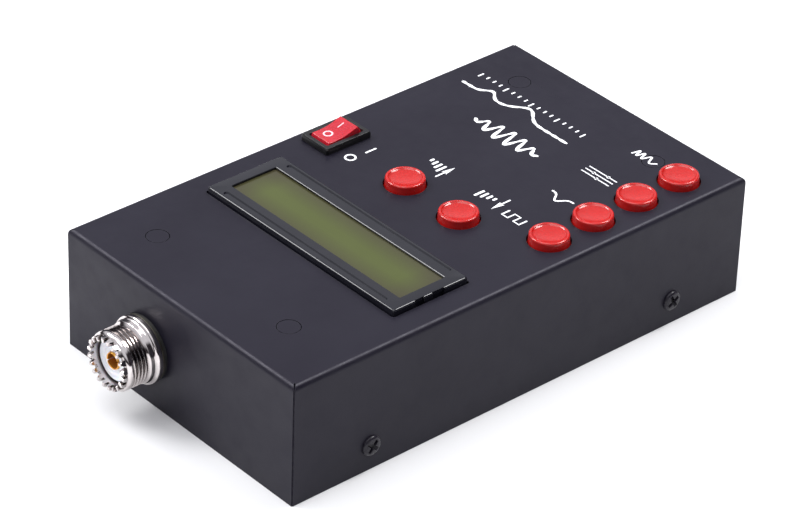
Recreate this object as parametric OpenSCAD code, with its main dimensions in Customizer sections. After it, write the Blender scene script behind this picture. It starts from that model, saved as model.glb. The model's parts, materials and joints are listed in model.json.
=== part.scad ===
// Handheld SWR meter (antenna analyser): sheet-metal case, display, six buttons, rocker switch
// and a screw-on antenna socket, with the boards and switch mechanisms inside.
// Frame: +X to the reader's right, +Y towards the antenna socket, +Z up through the panel.
// Origin: the middle of the case's underside. Millimetres.

/* [Case] */
// Width across the panel
case_w = 88; // [88:0.5:94]
// Length from the power end to the antenna end
case_l = 150; // [150:0.5:160]
// Height from the underside to the panel
case_h = 34.5; // [34.5:0.1:37]
// Thickness of the sheet metal
sheet_t = 1.2; // [1:0.1:1.4]
// Outside radius of the folded edges
bend_r = 1.4; // [1.2:0.1:2.5]
// Height of the bottom plate's folded flanges
flange_h = 13; // [11:0.5:14]

/* [Fasteners] */
// Distance between the side screws along the case
case_screw_pitch = 101; // [80:1:115]
// Height of the side screws above the underside
case_screw_z = 7.1; // [6:0.1:8]
// Radius of the side screws' heads
case_screw_head_r = 2.75; // [2.5:0.05:3]
// Sideways spacing of the panel standoffs
standoff_pitch_x = 50.8; // [48:0.1:52]
// Lengthwise spacing of the panel standoffs
standoff_pitch_y = 121.2; // [119:0.1:122]
// Sideways shift of the standoff pattern from the case's middle
standoff_shift_x = 1.95; // [1:0.05:2.5]

/* [Display] */
// Outside width of the display's metal frame
lcd_frame_w = 71.5; // [70:0.1:72]
// Outside depth of the display's metal frame
lcd_frame_d = 24; // [23:0.1:25]
// Width of the display window
lcd_window_w = 64.5; // [60:0.1:66]
// Depth of the display window
lcd_window_d = 14.5; // [13:0.1:16]
// Middle of the display, towards the antenna end
lcd_y = 25.2; // [24:0.1:26]
// How far the frame stands above the panel
lcd_rise = 1.6; // [1:0.1:2]

/* [Buttons] */
// Radius of a button cap at its top
cap_r = 5.2; // [4.8:0.05:5.3]
// How far a cap stands above the panel
cap_rise = 2.1; // [1.5:0.1:3]
// Distance between neighbouring buttons in the column
column_pitch = 15; // [14.5:0.1:15.2]
// Distance between the two buttons of the pair
pair_pitch = 20.3; // [19:0.1:20.5]
// How far a button travels when pressed
button_travel = 0.3; // [0.2:0.05:0.4]

/* [Rocker switch] */
// Width of the rocker switch's flange
rocker_flange_w = 10.5; // [10.2:0.1:10.8]
// Length of the rocker switch's flange
rocker_flange_l = 15; // [14.6:0.1:15.4]
// Swing of the rocker to each side of level, in degrees
rocker_swing = 9; // [7:0.5:9]

/* [Antenna socket] */
// Radius of the 5/8-24 thread over its crests
thread_r = 7.94; // [7.8:0.01:8]
// Radius of the socket's flange
socket_flange_r = 9.1; // [8.8:0.05:9.4]
// Distance of the socket's axis from the case's middle
socket_x = 12.5; // [11.5:0.1:13.5]
// Height of the socket's axis
socket_z = 16; // [15:0.1:17]
// Number of teeth on the socket's front ring
socket_teeth = 20; // [16:2:24]
// Radius of the bore in the centre contact
contact_bore_r = 2; // [1.9:0.05:2.1]

/* [Power and data sockets] */
// Distance of the power socket from the case's middle
power_x = 17; // [15:0.5:18]
// Distance of the data socket from the case's middle
data_x = -4; // [-6:0.5:-2]
// Radius of the power socket's centre pin
power_pin_r = 1.05; // [1:0.05:1.25]

/* [Hidden] */
$fn = 48;
eps = 0.01;
over = 1;
gap = 0.05;
board_t = 1.6;
board_top = case_h - 16.5;
board_under = board_top - board_t;
board_w = case_w - 5.2;
board_l = case_l - 10;
board_y = -2;
half_w = case_w / 2;
half_l = case_l / 2;
panel_under = case_h - sheet_t;
inner_bend_r = bend_r / 3;
bend_steps = 8;
corner_steps = 4;
seam_w = 0.35;
cutout_corner_r = 0.8;
board_corner_r = 1.5;

plate_w = case_w - 2 * sheet_t - 0.4;
plate_l = case_l - 2 * sheet_t - 0.6;
plate_flange_l = 124;
clinch_body_r = 2.2;
clinch_head_r = 3.15;
clinch_head_t = 2;
screw_r = 1.45;
screw_bore_r = 1.5;
screw_head_t = 1;
screw_l = 6;
screw_side_hole_r = 1.7;
// A pan head from its edge to its crown: [share of the radius, share of the height].
PAN_HEAD = [[1, 0], [1, 0.4], [0.85, 0.85], [0.5, 1], [0, 1]];
recess_reach = 0.55;
recess_depth = 0.6;
recess_slot = 0.22;

standoff_centre = [standoff_shift_x, -1];
standoff_r = 2.9;
standoff_collar_r = 3.6;
standoff_collar_t = 0.8;
standoff_bore_r = 1.25;
standoff_bore_depth = 9;
standoff_sink = 0.06;
board_screw_r = 1.2;
board_screw_head_r = 2.75;
board_screw_head_t = 2;
board_screw_l = board_t + 7;
board_hole_r = 1.6;

lcd_board_w = 80;
lcd_board_d = 36;
lcd_board_under = board_top + 8.5;
lcd_board_top = lcd_board_under + board_t;
lcd_top = case_h + lcd_rise;
lcd_sheet = 0.5;
lcd_bend = 0.7;
lcd_inner_bend = 0.2;
lcd_corner_r = 0.3;
lcd_cutout_gap = 0.4;
lcd_window_y = lcd_y - 0.2;
lcd_glass_top = lcd_top - 0.7;
lcd_glass_t = 2.2;
lcd_glass_inset = 1.2;
lcd_light_inset = 0.8;
lcd_groove_d = 0.6;
lcd_groove_depth = 0.25;
lcd_groove_y = lcd_window_d / 2 + 2.4;
lcd_hole_pitch_x = 75;
lcd_hole_pitch_y = 31;
lcd_spacer_r = 2.75;
lcd_screw_r = 1.15;
lcd_screw_bore_r = 1.2;
lcd_screw_head_r = 2.2;
lcd_screw_head_t = 1.5;
lcd_screw_l = 4;
pin_pitch = 2.54;
pin_count = 16;
pin_r = 0.32;
pin_foot_z = board_top + 1.6;
pin_stub = 0.6;
pin_hole_z = 1.2;
header_h = 2.5;
header_x = -32;
header_y = lcd_y + lcd_board_d / 2 - 2.5;

column_x = -34.1;
column_first_y = -15.25;
pair_y = -4.5;
pair_left_x = -12.4;
BUTTONS = [
    [pair_left_x, pair_y],
    [pair_left_x + pair_pitch, pair_y],
    [column_x, column_first_y],
    [column_x, column_first_y - column_pitch],
    [column_x, column_first_y - 2 * column_pitch],
    [column_x, column_first_y - 3 * column_pitch]
];
cap_hole_r = 5.7;
cap_foot_r = 5.35;
cap_collar_r = 6.3;
cap_collar_t = 0.8;
cap_collar_gap = 0.3;
cap_skirt_h = 5;
cap_round = 0.6;
dish_r = 4.5;
dish_depth = 0.45;
dish_steps = 4;
stem_side = 3.8;
stem_top = case_h - 2;
stem_base_r = 3.35;
stem_bore_r = 3.42;
stem_shoulder = 0.9;
switch_side = 12;
switch_corner_r = 0.8;
switch_leg_pitch = 5;
switch_h = 3.2;
switch_plate_t = 0.3;
switch_floor = 0.9;
switch_leg = [0.3, 1, switch_h];
dome_r = 3.1;
dome_t = 0.15;
dome_rise = 0.5;
dome_shoulder = [dome_r / 2, dome_rise * 0.8];
stem_foot_gap = 0.06;

rocker_x = 35.4;
rocker_y = -4.9;
rocker_pivot_z = case_h - 0.45;
rocker_w = 6.84;
rocker_tip_y = 4.75;
rocker_tip_z = 3.35;
rocker_valley_z = 2.75;
rocker_valley_edge = [1.9, 2.85];
rocker_sole_z = -1.2;
rocker_sweep_r = norm([rocker_tip_y, rocker_tip_z]);
rocker_flange_t = 1.9;
rocker_flange_step = 0.4;
rocker_corner_r = 0.6;
rocker_body_w = 8.4;
rocker_body_l = 13.2;
rocker_cavity_w = 7.2;
rocker_cavity_l = 12.1;
rocker_depth = 12;
rocker_floor_t = 1;
rocker_cutout_gap = 0.1;
trunnion_r = 0.9;
trunnion_bore_r = 0.95;
trunnion_reach = 3.95;
trunnion_bore_reach = 4.02;
post_r = 1.5;
post_bore_r = 0.85;
post_end = 4.4;
pin_rod_r = 0.8;
pin_rod_reach = 6.85;
pin_rod_top = 1.4;
rocker_floor_z = case_h - rocker_depth + rocker_floor_t;
blade_z = rocker_floor_z + 2.5;
blade_swing = 6;
blade_l = 9;
blade_w = 4;
blade_t = 0.4;
blade_pivot_r = 0.3;
rivet_r = 1;
rivet_h = 0.5;
rivet_y = 4;
cradle_w = 0.6;
cradle_gap = 0.1;
cradle_base_t = 0.4;
cradle_l = 1.4;
terminal_w = 2.8;
terminal_t = 0.8;
terminal_y = [0, 4.4];
terminal_end_z = 15.3;
terminal_top = rocker_floor_z + 0.6;
fixed_contact_r = 1.2;
fixed_contact_top = rocker_floor_z + 1.2;
notch_x = 29.9;
notch_l = 17.2;

washer_t = 0.6;
gasket_t = 0.7;
socket_bush_r = 6.35;
socket_bush_bore_r = 4.5;
socket_bore_r = 5.95;
socket_rear = 12;
socket_step = 2;
socket_neck_r = thread_r + 0.3;
bush_clear = 0.15;
flange_back = gasket_t + washer_t + 3 * gap;
flange_front = flange_back + 1.4;
flange_edge = 0.25;
flange_chamfer = 0.4;
flange_fillet = 0.3;
thread_start = 5.2;
thread_end = 10.3;
tooth_r = 7.3;
tooth_root = 11.1;
tooth_tip = 12.5;
tooth_gap = 1.05;
insulator_front = 10;
insulator_chamfer = 0.45;
contact_r = 2.7;
contact_front = 10.3;
contact_bore_l = 8;
contact_slit = 0.35;
contact_slit_l = 6;
contact_turn = 20;
contact_stub_r = 1.25;
contact_stub_end = 14;
cup_bore_r = 0.8;
cup_depth = 2.5;
washer_bore_r = 6.45;
washer_r = 9;
gasket_r = 8.8;
nut_r = 10;
nut_t = 3;
tag_t = 0.5;
tag_r = 8.2;
tag_tail_w = 3;
tag_tail_l = 14;
tag_eye_inset = 1.5;
tag_eye_r = 0.8;
socket_notch_w = 22;
socket_notch_y = 55;
lead_straight = 1.2;
lead_lie = 5;

power_body = [9, 14, 11];
power_nose_r = 3.9;
power_nose_l = 1.6;
power_bore_r = 2.9;
power_bore_depth = 10;
power_pin_l = 8.5;
power_hole_r = 4.1;
power_z = board_top + 6.5;
data_size = [7.7, 9.3, 3.9];
data_wall = 0.4;
data_hole = [8.5, 4.7];
data_reach = 0.1;
tongue_size = [4.6, 6, 1.1];
tongue_inset = 1;
end_clear = 0.2;

chip_lift = 0.5;
leg_t = 0.3;
leg_w = 0.6;
wire_r = 0.7;
bare_r = 0.4;
bend_swell = 1.08;
power_lead_z = 16.8;
power_lead_run = 4.4;

// ---- Shared shapes ----

function arc(centre, r, from, to, steps) = [
    for (i = [0:steps])
        let (a = from + (to - from) * i / steps) centre + r * [cos(a), sin(a)]
];

// A door-shaped outline: flat foot, two rounded upper corners.
function arch_points(w, h, r) = concat(
    [[-w / 2, 0], [w / 2, 0]],
    arc([w / 2 - r, h - r], r, 0, 90, bend_steps),
    arc([-w / 2 + r, h - r], r, 90, 180, bend_steps)
);

function rounded_points(w, d, r) = concat(
    arc([w / 2 - r, d / 2 - r], r, 0, 90, corner_steps),
    arc([-w / 2 + r, d / 2 - r], r, 90, 180, corner_steps),
    arc([-w / 2 + r, -d / 2 + r], r, 180, 270, corner_steps),
    arc([w / 2 - r, -d / 2 + r], r, 270, 360, corner_steps)
);

// The four corners of a rectangle centred at c.
function corners(c, w, d) = [
    for (sx = [-1, 1], sy = [-1, 1]) [c[0] + sx * w / 2, c[1] + sy * d / 2]
];

standoffs = corners(standoff_centre, standoff_pitch_x, standoff_pitch_y);
lcd_holes = corners([0, lcd_y], lcd_hole_pitch_x, lcd_hole_pitch_y);
lcd_pins = [for (i = [0:pin_count - 1]) [header_x + i * pin_pitch, header_y]];

module rounded_slab(w, d, h, r) {
    linear_extrude(height = h) polygon(rounded_points(w, d, r));
}

// A block whose four long upper edges are folded round.
module folded_block(w, l, h, r) {
    intersection() {
        rotate([90, 0, 0]) linear_extrude(height = l, center = true) polygon(arch_points(w, h, r));
        rotate([90, 0, 90]) linear_extrude(height = w, center = true) polygon(arch_points(l, h, r));
    }
}

module centred_box(size) {
    translate([-size[0] / 2, -size[1] / 2, 0]) cube(size);
}

module ring(r_out, r_in, h) {
    difference() {
        cylinder(r = r_out, h = h);
        translate([0, 0, -over]) cylinder(r = r_in, h = h + 2 * over);
    }
}

// Puts children at each spot of a list of [x, y].
module at_each(spots, z = 0) {
    for (s = spots) translate([s[0], s[1], z]) children();
}

// Lays children along the antenna socket's axis, measured outwards from the end wall.
module on_socket_axis(out = 0) {
    translate([socket_x, half_l + out, socket_z]) rotate([-90, 0, 0]) children();
}

module on_pivot(z) {
    translate([rocker_x, rocker_y, z]) children();
}

// A round wire through a list of points, a little thicker at each bend.
module wire(points, r) {
    for (i = [0:len(points) - 2]) {
        run = points[i + 1] - points[i];
        translate(points[i])
            rotate([0, acos(run[2] / norm(run)), atan2(run[1], run[0])])
                cylinder(r = r, h = norm(run));
    }
    for (i = [1:len(points) - 2]) translate(points[i]) sphere(r = r * bend_swell);
}

// The height at which a wire lies on the main board.
function wire_rest(r) = board_top + r * bend_swell + gap;

// ---- Case ----

module panel_cutouts() {
    foot = panel_under - over;
    depth = sheet_t + 2 * over;
    translate([0, lcd_y, foot])
        rounded_slab(lcd_frame_w + 2 * lcd_cutout_gap, lcd_frame_d + 2 * lcd_cutout_gap, depth, cutout_corner_r);
    at_each(BUTTONS, foot) cylinder(r = cap_hole_r, h = depth);
    at_each(standoffs, foot) cylinder(r = standoff_r + gap, h = depth);
    on_pivot(foot)
        centred_box([rocker_body_w + 2 * rocker_cutout_gap, rocker_body_l + 2 * rocker_cutout_gap, depth]);
}

module end_cutouts() {
    depth = sheet_t + 2 * over;
    on_socket_axis(-sheet_t - over) cylinder(r = socket_bush_r + bush_clear, h = depth);
    translate([power_x, -half_l - over, power_z]) rotate([-90, 0, 0]) cylinder(r = power_hole_r, h = depth);
    translate([data_x, -half_l - over, board_top + data_size[2] / 2])
        rotate([-90, 0, 0]) rounded_slab(data_hole[0], data_hole[1], depth, cutout_corner_r);
}

module side_screw_holes(r) {
    for (s = [-1, 1]) translate([0, s * case_screw_pitch / 2, case_screw_z])
        rotate([0, 90, 0]) cylinder(r = r, h = case_w + 2 * over, center = true);
}

// The folded corners are left open: a narrow slit parts each end wall from the side walls.
module corner_seams() {
    for (sx = [-1, 1], sy = [-1, 1])
        translate([sx * (half_w - sheet_t - seam_w / 2), sy * half_l, (panel_under - bend_r) / 2 - over])
            cube([seam_w, 2 * (sheet_t + inner_bend_r), panel_under - bend_r + 2 * over], center = true);
}

module top_cover() {
    color([0.15, 0.15, 0.17])
    difference() {
        folded_block(case_w, case_l, case_h, bend_r);
        translate([0, 0, -over])
            folded_block(case_w - 2 * sheet_t, case_l - 2 * sheet_t, panel_under + over, inner_bend_r);
        panel_cutouts();
        end_cutouts();
        side_screw_holes(screw_side_hole_r);
        corner_seams();
    }
}

module bottom_plate() {
    color([0.17, 0.17, 0.19])
    difference() {
        union() {
            centred_box([plate_w, plate_l, sheet_t]);
            for (s = [-1, 1])
                translate([s * (plate_w - sheet_t) / 2, 0, 0]) centred_box([sheet_t, plate_flange_l, flange_h]);
        }
        side_screw_holes(clinch_body_r + gap / 2);
    }
}

// Puts children at each side screw, with +Z pointing out of the side wall.
module at_side_screws() {
    for (sx = [-1, 1], sy = [-1, 1])
        translate([sx * half_w, sy * case_screw_pitch / 2, case_screw_z]) rotate([0, sx * 90, 0]) children();
}

module cross_recess(r, depth, slot) {
    for (a = [0, 90]) rotate([0, 0, a]) cube([2 * r, slot, 2 * depth], center = true);
}

module pan_screw(head_r, head_t, shank_r, shank_l) {
    difference() {
        rotate_extrude()
            polygon(concat(
                [[0, -shank_l], [shank_r, -shank_l], [shank_r, 0]],
                [for (share = PAN_HEAD) [head_r * share[0], head_t * share[1]]]
            ));
        translate([0, 0, head_t]) cross_recess(head_r * recess_reach, head_t * recess_depth, head_r * recess_slot);
    }
}

module case_screws() {
    color([0.08, 0.08, 0.09])
    at_side_screws() pan_screw(case_screw_head_r, screw_head_t, screw_r, screw_l);
}

module clinch_nuts() {
    flange_face = half_w - plate_w / 2 + sheet_t;
    color([0.75, 0.75, 0.72])
    at_side_screws()
        difference() {
            union() {
                translate([0, 0, -flange_face]) cylinder(r = clinch_body_r, h = sheet_t - gap);
                translate([0, 0, -flange_face - clinch_head_t]) cylinder(r = clinch_head_r, h = clinch_head_t);
            }
            translate([0, 0, -flange_face - clinch_head_t - over])
                cylinder(r = screw_bore_r, h = clinch_head_t + sheet_t + 2 * over);
        }
}

// ---- Board carriers ----

module panel_standoffs() {
    height = case_h - standoff_sink - board_top;
    color([0.16, 0.16, 0.18])
    at_each(standoffs, board_top)
        difference() {
            union() {
                cylinder(r = standoff_r, h = height);
                translate([0, 0, panel_under - board_top - standoff_collar_t])
                    cylinder(r = standoff_collar_r, h = standoff_collar_t);
            }
            translate([0, 0, -over]) cylinder(r = standoff_bore_r, h = standoff_bore_depth + over);
        }
}

module board_screws() {
    color([0.78, 0.78, 0.75])
    at_each(standoffs, board_under)
        rotate([180, 0, 0])
            pan_screw(board_screw_head_r, board_screw_head_t, board_screw_r, board_screw_l);
}

module main_board() {
    color([0.08, 0.3, 0.16])
    translate([0, 0, board_under])
    linear_extrude(height = board_t)
    difference() {
        translate([0, board_y]) polygon(rounded_points(board_w, board_l, board_corner_r));
        translate([socket_x - socket_notch_w / 2, socket_notch_y]) square([socket_notch_w, half_l]);
        translate([notch_x, rocker_y - notch_l / 2]) square([half_w, notch_l]);
        at_each(standoffs) circle(r = board_hole_r);
        at_each(lcd_holes) circle(r = lcd_screw_bore_r);
    }
}

// ---- Display ----

module lcd_frame() {
    height = lcd_top - lcd_board_top;
    color([0.1, 0.1, 0.11])
    translate([0, lcd_y, lcd_board_top])
    difference() {
        folded_block(lcd_frame_w, lcd_frame_d, height, lcd_bend);
        translate([0, 0, -over])
            folded_block(lcd_frame_w - 2 * lcd_sheet, lcd_frame_d - 2 * lcd_sheet,
                height - lcd_sheet + over, lcd_inner_bend);
        translate([0, lcd_window_y - lcd_y, height - lcd_sheet - over])
            rounded_slab(lcd_window_w, lcd_window_d, lcd_sheet + 2 * over, lcd_corner_r);
        for (s = [-1, 1])
            translate([0, s * lcd_groove_y, height - lcd_groove_depth])
                centred_box([lcd_window_w, lcd_groove_d, over]);
    }
}

module lcd_glass() {
    color([0.42, 0.46, 0.3])
    translate([0, lcd_y, lcd_glass_top - lcd_glass_t])
        centred_box([lcd_frame_w - 2 * lcd_glass_inset, lcd_frame_d - 2 * lcd_glass_inset, lcd_glass_t]);
}

module lcd_backlight() {
    height = lcd_glass_top - lcd_glass_t - lcd_board_top - 2 * gap;
    color([0.75, 0.85, 0.45])
    translate([0, lcd_y, lcd_board_top + gap])
        centred_box([lcd_frame_w - 2 * lcd_light_inset, lcd_frame_d - 2 * lcd_light_inset, height]);
}

module lcd_board() {
    color([0.07, 0.26, 0.15])
    translate([0, 0, lcd_board_under])
    linear_extrude(height = board_t)
    difference() {
        translate([0, lcd_y]) polygon(rounded_points(lcd_board_w, lcd_board_d, lcd_corner_r));
        at_each(lcd_holes) circle(r = lcd_screw_bore_r);
        at_each(lcd_pins) circle(r = pin_r + gap);
    }
}

module pin_strip(h) {
    translate([header_x + (pin_count - 1) * pin_pitch / 2, header_y, 0])
        centred_box([pin_count * pin_pitch, pin_pitch, h]);
}

module lcd_header() {
    color([0.1, 0.1, 0.1])
    union() {
        translate([0, 0, lcd_board_under - header_h]) pin_strip(header_h - gap);
        at_each(lcd_pins, pin_foot_z) cylinder(r = pin_r, h = lcd_board_top + pin_stub - pin_foot_z, $fn = 16);
    }
}

module lcd_socket() {
    height = lcd_board_under - header_h - board_top;
    color([0.12, 0.12, 0.12])
    translate([0, 0, board_top])
    difference() {
        pin_strip(height - gap);
        at_each(lcd_pins, pin_hole_z) cylinder(r = pin_r + gap, h = height, $fn = 16);
    }
}

module lcd_spacers() {
    color([0.9, 0.9, 0.86])
    at_each(lcd_holes, board_top) ring(lcd_spacer_r, lcd_screw_bore_r, lcd_board_under - board_top);
}

module lcd_screws() {
    color([0.78, 0.78, 0.75])
    at_each(lcd_holes) {
        translate([0, 0, lcd_board_top])
            pan_screw(lcd_screw_head_r, lcd_screw_head_t, lcd_screw_r, lcd_screw_l);
        translate([0, 0, board_under]) rotate([180, 0, 0])
            pan_screw(lcd_screw_head_r, lcd_screw_head_t, lcd_screw_r, lcd_screw_l);
    }
}

// ---- Buttons ----

// Half of a cap's section: dished top, rounded rim, a collar under the panel and a skirt.
function cap_section(top, collar_top, foot) = concat(
    [[0, foot], [cap_r, foot], [cap_r, collar_top - cap_collar_t], [cap_collar_r, collar_top - cap_collar_t],
        [cap_collar_r, collar_top], [cap_foot_r, collar_top]],
    arc([cap_r - cap_round, top - cap_round], cap_round, 0, 100, corner_steps),
    [for (i = [dish_steps - 1:-1:0]) let (u = i / dish_steps) [dish_r * u, top - dish_depth * (1 - u * u)]]
);

module button_cap(spot) {
    collar_top = panel_under - cap_collar_gap;
    foot = collar_top - cap_collar_t - cap_skirt_h;
    color([0.85, 0.16, 0.14])
    translate([spot[0], spot[1], 0])
    difference() {
        rotate_extrude() polygon(cap_section(case_h + cap_rise, collar_top, foot));
        translate([0, 0, foot - over])
            centred_box([stem_side + 2 * gap, stem_side + 2 * gap, stem_top + gap - foot + over]);
    }
}

module up_button() button_cap(BUTTONS[0]);
module down_button() button_cap(BUTTONS[1]);
module mode_button() button_cap(BUTTONS[2]);
module band_button() button_cap(BUTTONS[3]);
module config_button() button_cap(BUTTONS[4]);
module scan_button() button_cap(BUTTONS[5]);

// The plunger's round foot runs in the switch housing, and its square stem holds the cap.
module button_plunger(spot) {
    foot_z = board_top + switch_floor + dome_t + dome_rise + button_travel + stem_foot_gap;
    shoulder_z = board_top + switch_h + switch_plate_t + stem_shoulder;
    color([0.12, 0.12, 0.13])
    translate([spot[0], spot[1], 0]) {
        translate([0, 0, foot_z]) cylinder(r = stem_base_r, h = shoulder_z - foot_z);
        translate([0, 0, shoulder_z]) centred_box([stem_side, stem_side, stem_top - shoulder_z]);
    }
}

module up_plunger() button_plunger(BUTTONS[0]);
module down_plunger() button_plunger(BUTTONS[1]);
module mode_plunger() button_plunger(BUTTONS[2]);
module band_plunger() button_plunger(BUTTONS[3]);
module config_plunger() button_plunger(BUTTONS[4]);
module scan_plunger() button_plunger(BUTTONS[5]);

module switch_housings() {
    color([0.13, 0.13, 0.14])
    at_each(BUTTONS, board_top)
        difference() {
            rounded_slab(switch_side, switch_side, switch_h, switch_corner_r);
            translate([0, 0, switch_floor]) cylinder(r = stem_bore_r, h = switch_h);
        }
}

module switch_plates() {
    color([0.8, 0.8, 0.78])
    at_each(BUTTONS, board_top) {
        translate([0, 0, switch_h])
            difference() {
                rounded_slab(switch_side, switch_side, switch_plate_t, switch_corner_r);
                translate([0, 0, -over]) cylinder(r = stem_bore_r, h = switch_plate_t + 2 * over);
            }
        for (sx = [-1, 1], sy = [-1, 1])
            translate([sx * (switch_side + switch_leg[0]) / 2, sy * switch_leg_pitch / 2, 0])
                centred_box(switch_leg);
    }
}

module switch_domes() {
    color([0.85, 0.84, 0.8])
    at_each(BUTTONS, board_top + switch_floor)
        rotate_extrude()
            polygon([[0, dome_rise], dome_shoulder, [dome_r, 0],
                [dome_r, dome_t], dome_shoulder + [0, dome_t], [0, dome_rise + dome_t]]);
}

// ---- Rocker switch ----

module rocker_housing() {
    rim_h = rocker_flange_t - rocker_flange_step;
    color([0.07, 0.07, 0.08])
    on_pivot(case_h)
    difference() {
        union() {
            translate([0, 0, -rocker_depth]) centred_box([rocker_body_w, rocker_body_l, rocker_depth]);
            rounded_slab(rocker_flange_w, rocker_flange_l, rim_h, rocker_corner_r);
            translate([0, 0, rim_h])
                rounded_slab(rocker_flange_w - rocker_flange_step, rocker_flange_l - rocker_flange_step,
                    rocker_flange_step, rocker_corner_r);
        }
        translate([0, 0, rocker_floor_t - rocker_depth])
            centred_box([rocker_cavity_w, rocker_cavity_l, rocker_depth + rocker_flange_t]);
        translate([0, 0, rocker_pivot_z - case_h])
            rotate([0, 90, 0]) cylinder(r = trunnion_bore_r, h = 2 * trunnion_bore_reach, center = true);
        for (y = terminal_y)
            translate([0, y, -rocker_depth - over])
                centred_box([terminal_w + 2 * gap, terminal_t + 2 * gap, rocker_floor_t + 2 * over]);
    }
}

// The rocker's side view about its pivot: round ends, shallow valley on top.
function rocker_outline() = let (
    tip = atan2(rocker_tip_z, rocker_tip_y),
    low = asin(rocker_sole_z / rocker_sweep_r)
) concat(
    arc([0, 0], rocker_sweep_r, low, tip, bend_steps),
    [rocker_valley_edge, [0, rocker_valley_z], [-rocker_valley_edge[0], rocker_valley_edge[1]]],
    arc([0, 0], rocker_sweep_r, 180 - tip, 180 - low, bend_steps)
);

module tilted_to_rest(z, swing) {
    on_pivot(z) rotate([swing, 0, 0]) children();
}

module power_rocker() {
    color([0.85, 0.14, 0.16])
    tilted_to_rest(rocker_pivot_z, -rocker_swing)
    difference() {
        union() {
            rotate([90, 0, 90]) linear_extrude(height = rocker_w, center = true) polygon(rocker_outline());
            rotate([0, 90, 0]) cylinder(r = trunnion_r, h = 2 * trunnion_reach, center = true);
            translate([0, 0, -post_end]) cylinder(r = post_r, h = post_end);
        }
        translate([0, 0, -post_end - over]) cylinder(r = post_bore_r, h = post_end);
    }
}

// A sprung pin under the rocker, which wipes along the contact blade.
module rocker_pin() {
    color([0.85, 0.75, 0.45])
    tilted_to_rest(rocker_pivot_z, -rocker_swing) {
        translate([0, 0, -pin_rod_reach]) cylinder(r = pin_rod_r, h = pin_rod_reach - pin_rod_top);
        translate([0, 0, -pin_rod_reach]) sphere(r = pin_rod_r);
    }
}

module contact_blade() {
    color([0.8, 0.5, 0.3])
    tilted_to_rest(blade_z, blade_swing) {
        translate([0, 0, -blade_t / 2]) centred_box([blade_w, blade_l, blade_t]);
        rotate([0, 90, 0]) cylinder(r = blade_pivot_r, h = blade_w, center = true);
        translate([0, rivet_y, -blade_t / 2 - rivet_h]) cylinder(r = rivet_r, h = rivet_h + eps);
    }
}

module rocker_terminals() {
    color([0.82, 0.8, 0.72]) {
        for (y = terminal_y)
            on_pivot(0) translate([0, y, terminal_end_z])
                centred_box([terminal_w, terminal_t, terminal_top - terminal_end_z]);
        on_pivot(terminal_top) {
            centred_box([blade_w + 2 * (cradle_gap + cradle_w), cradle_l, cradle_base_t]);
            for (s = [-1, 1])
                translate([s * (blade_w / 2 + cradle_gap + cradle_w / 2), 0, 0])
                    centred_box([cradle_w, cradle_l, blade_z - terminal_top]);
            translate([0, terminal_y[1], 0])
                cylinder(r = fixed_contact_r, h = fixed_contact_top - terminal_top);
        }
    }
}

// ---- Antenna socket ----

module socket_turning() {
    rotate_extrude()
        polygon([
            [socket_bush_bore_r, -socket_rear], [socket_bush_r, -socket_rear], [socket_bush_r, flange_back],
            [socket_flange_r - flange_edge, flange_back], [socket_flange_r, flange_back + flange_edge],
            [socket_flange_r, flange_front - flange_chamfer], [socket_flange_r - flange_chamfer, flange_front],
            [socket_neck_r, flange_front + flange_fillet], [socket_neck_r, thread_start],
            [thread_r, thread_start], [thread_r, thread_end], [tooth_r, tooth_root],
            [tooth_r, tooth_tip], [socket_bore_r, tooth_tip],
            [socket_bore_r, socket_step], [socket_bush_bore_r, socket_step]
        ]);
}

module antenna_shell() {
    color([0.82, 0.82, 0.8])
    on_socket_axis()
    difference() {
        socket_turning();
        for (i = [0:socket_teeth - 1])
            rotate([0, 0, (i + 0.5) * 360 / socket_teeth])
                translate([socket_bore_r - over, -tooth_gap / 2, tooth_root + 2 * gap])
                    cube([tooth_r - socket_bore_r + 2 * over, tooth_gap, tooth_tip - tooth_root]);
    }
}

module antenna_insulator() {
    stub_bore = contact_stub_r + gap;
    bush_fit = socket_bush_bore_r - gap;
    front_fit = socket_bore_r - gap;
    color([0.93, 0.93, 0.9])
    on_socket_axis()
        rotate_extrude()
            polygon([
                [stub_bore, -socket_rear], [bush_fit, -socket_rear],
                [bush_fit, socket_step + gap], [front_fit, socket_step + gap],
                [front_fit, insulator_front - insulator_chamfer], [front_fit - insulator_chamfer, insulator_front],
                [contact_r + gap, insulator_front], [contact_r + gap, 0], [stub_bore, 0]
            ]);
}

module antenna_contact() {
    color([0.8, 0.6, 0.25])
    on_socket_axis()
    difference() {
        union() {
            translate([0, 0, gap]) cylinder(r = contact_r, h = contact_front - gap);
            translate([0, 0, -contact_stub_end]) cylinder(r = contact_stub_r, h = contact_stub_end + over);
        }
        translate([0, 0, contact_front - contact_bore_l]) cylinder(r = contact_bore_r, h = contact_bore_l + over);
        translate([0, 0, -contact_stub_end - over]) cylinder(r = cup_bore_r, h = cup_depth + over);
        for (a = [0, 90])
            rotate([0, 0, a + contact_turn])
                translate([-contact_r - over, -contact_slit / 2, contact_front - contact_slit_l])
                    cube([2 * (contact_r + over), contact_slit, contact_slit_l + over]);
    }
}

module antenna_washer() {
    color([0.5, 0.5, 0.45])
    on_socket_axis(gasket_t + gap) ring(washer_r, washer_bore_r, washer_t);
}

module antenna_gasket() {
    color([0.06, 0.06, 0.06])
    on_socket_axis() ring(gasket_r, washer_bore_r, gasket_t);
}

module antenna_nut() {
    color([0.8, 0.8, 0.78])
    on_socket_axis(-sheet_t - tag_t - 2 * gap - nut_t)
        difference() {
            cylinder(r = nut_r, h = nut_t, $fn = 6);
            translate([0, 0, -over]) cylinder(r = washer_bore_r, h = nut_t + 2 * over);
        }
}

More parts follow.
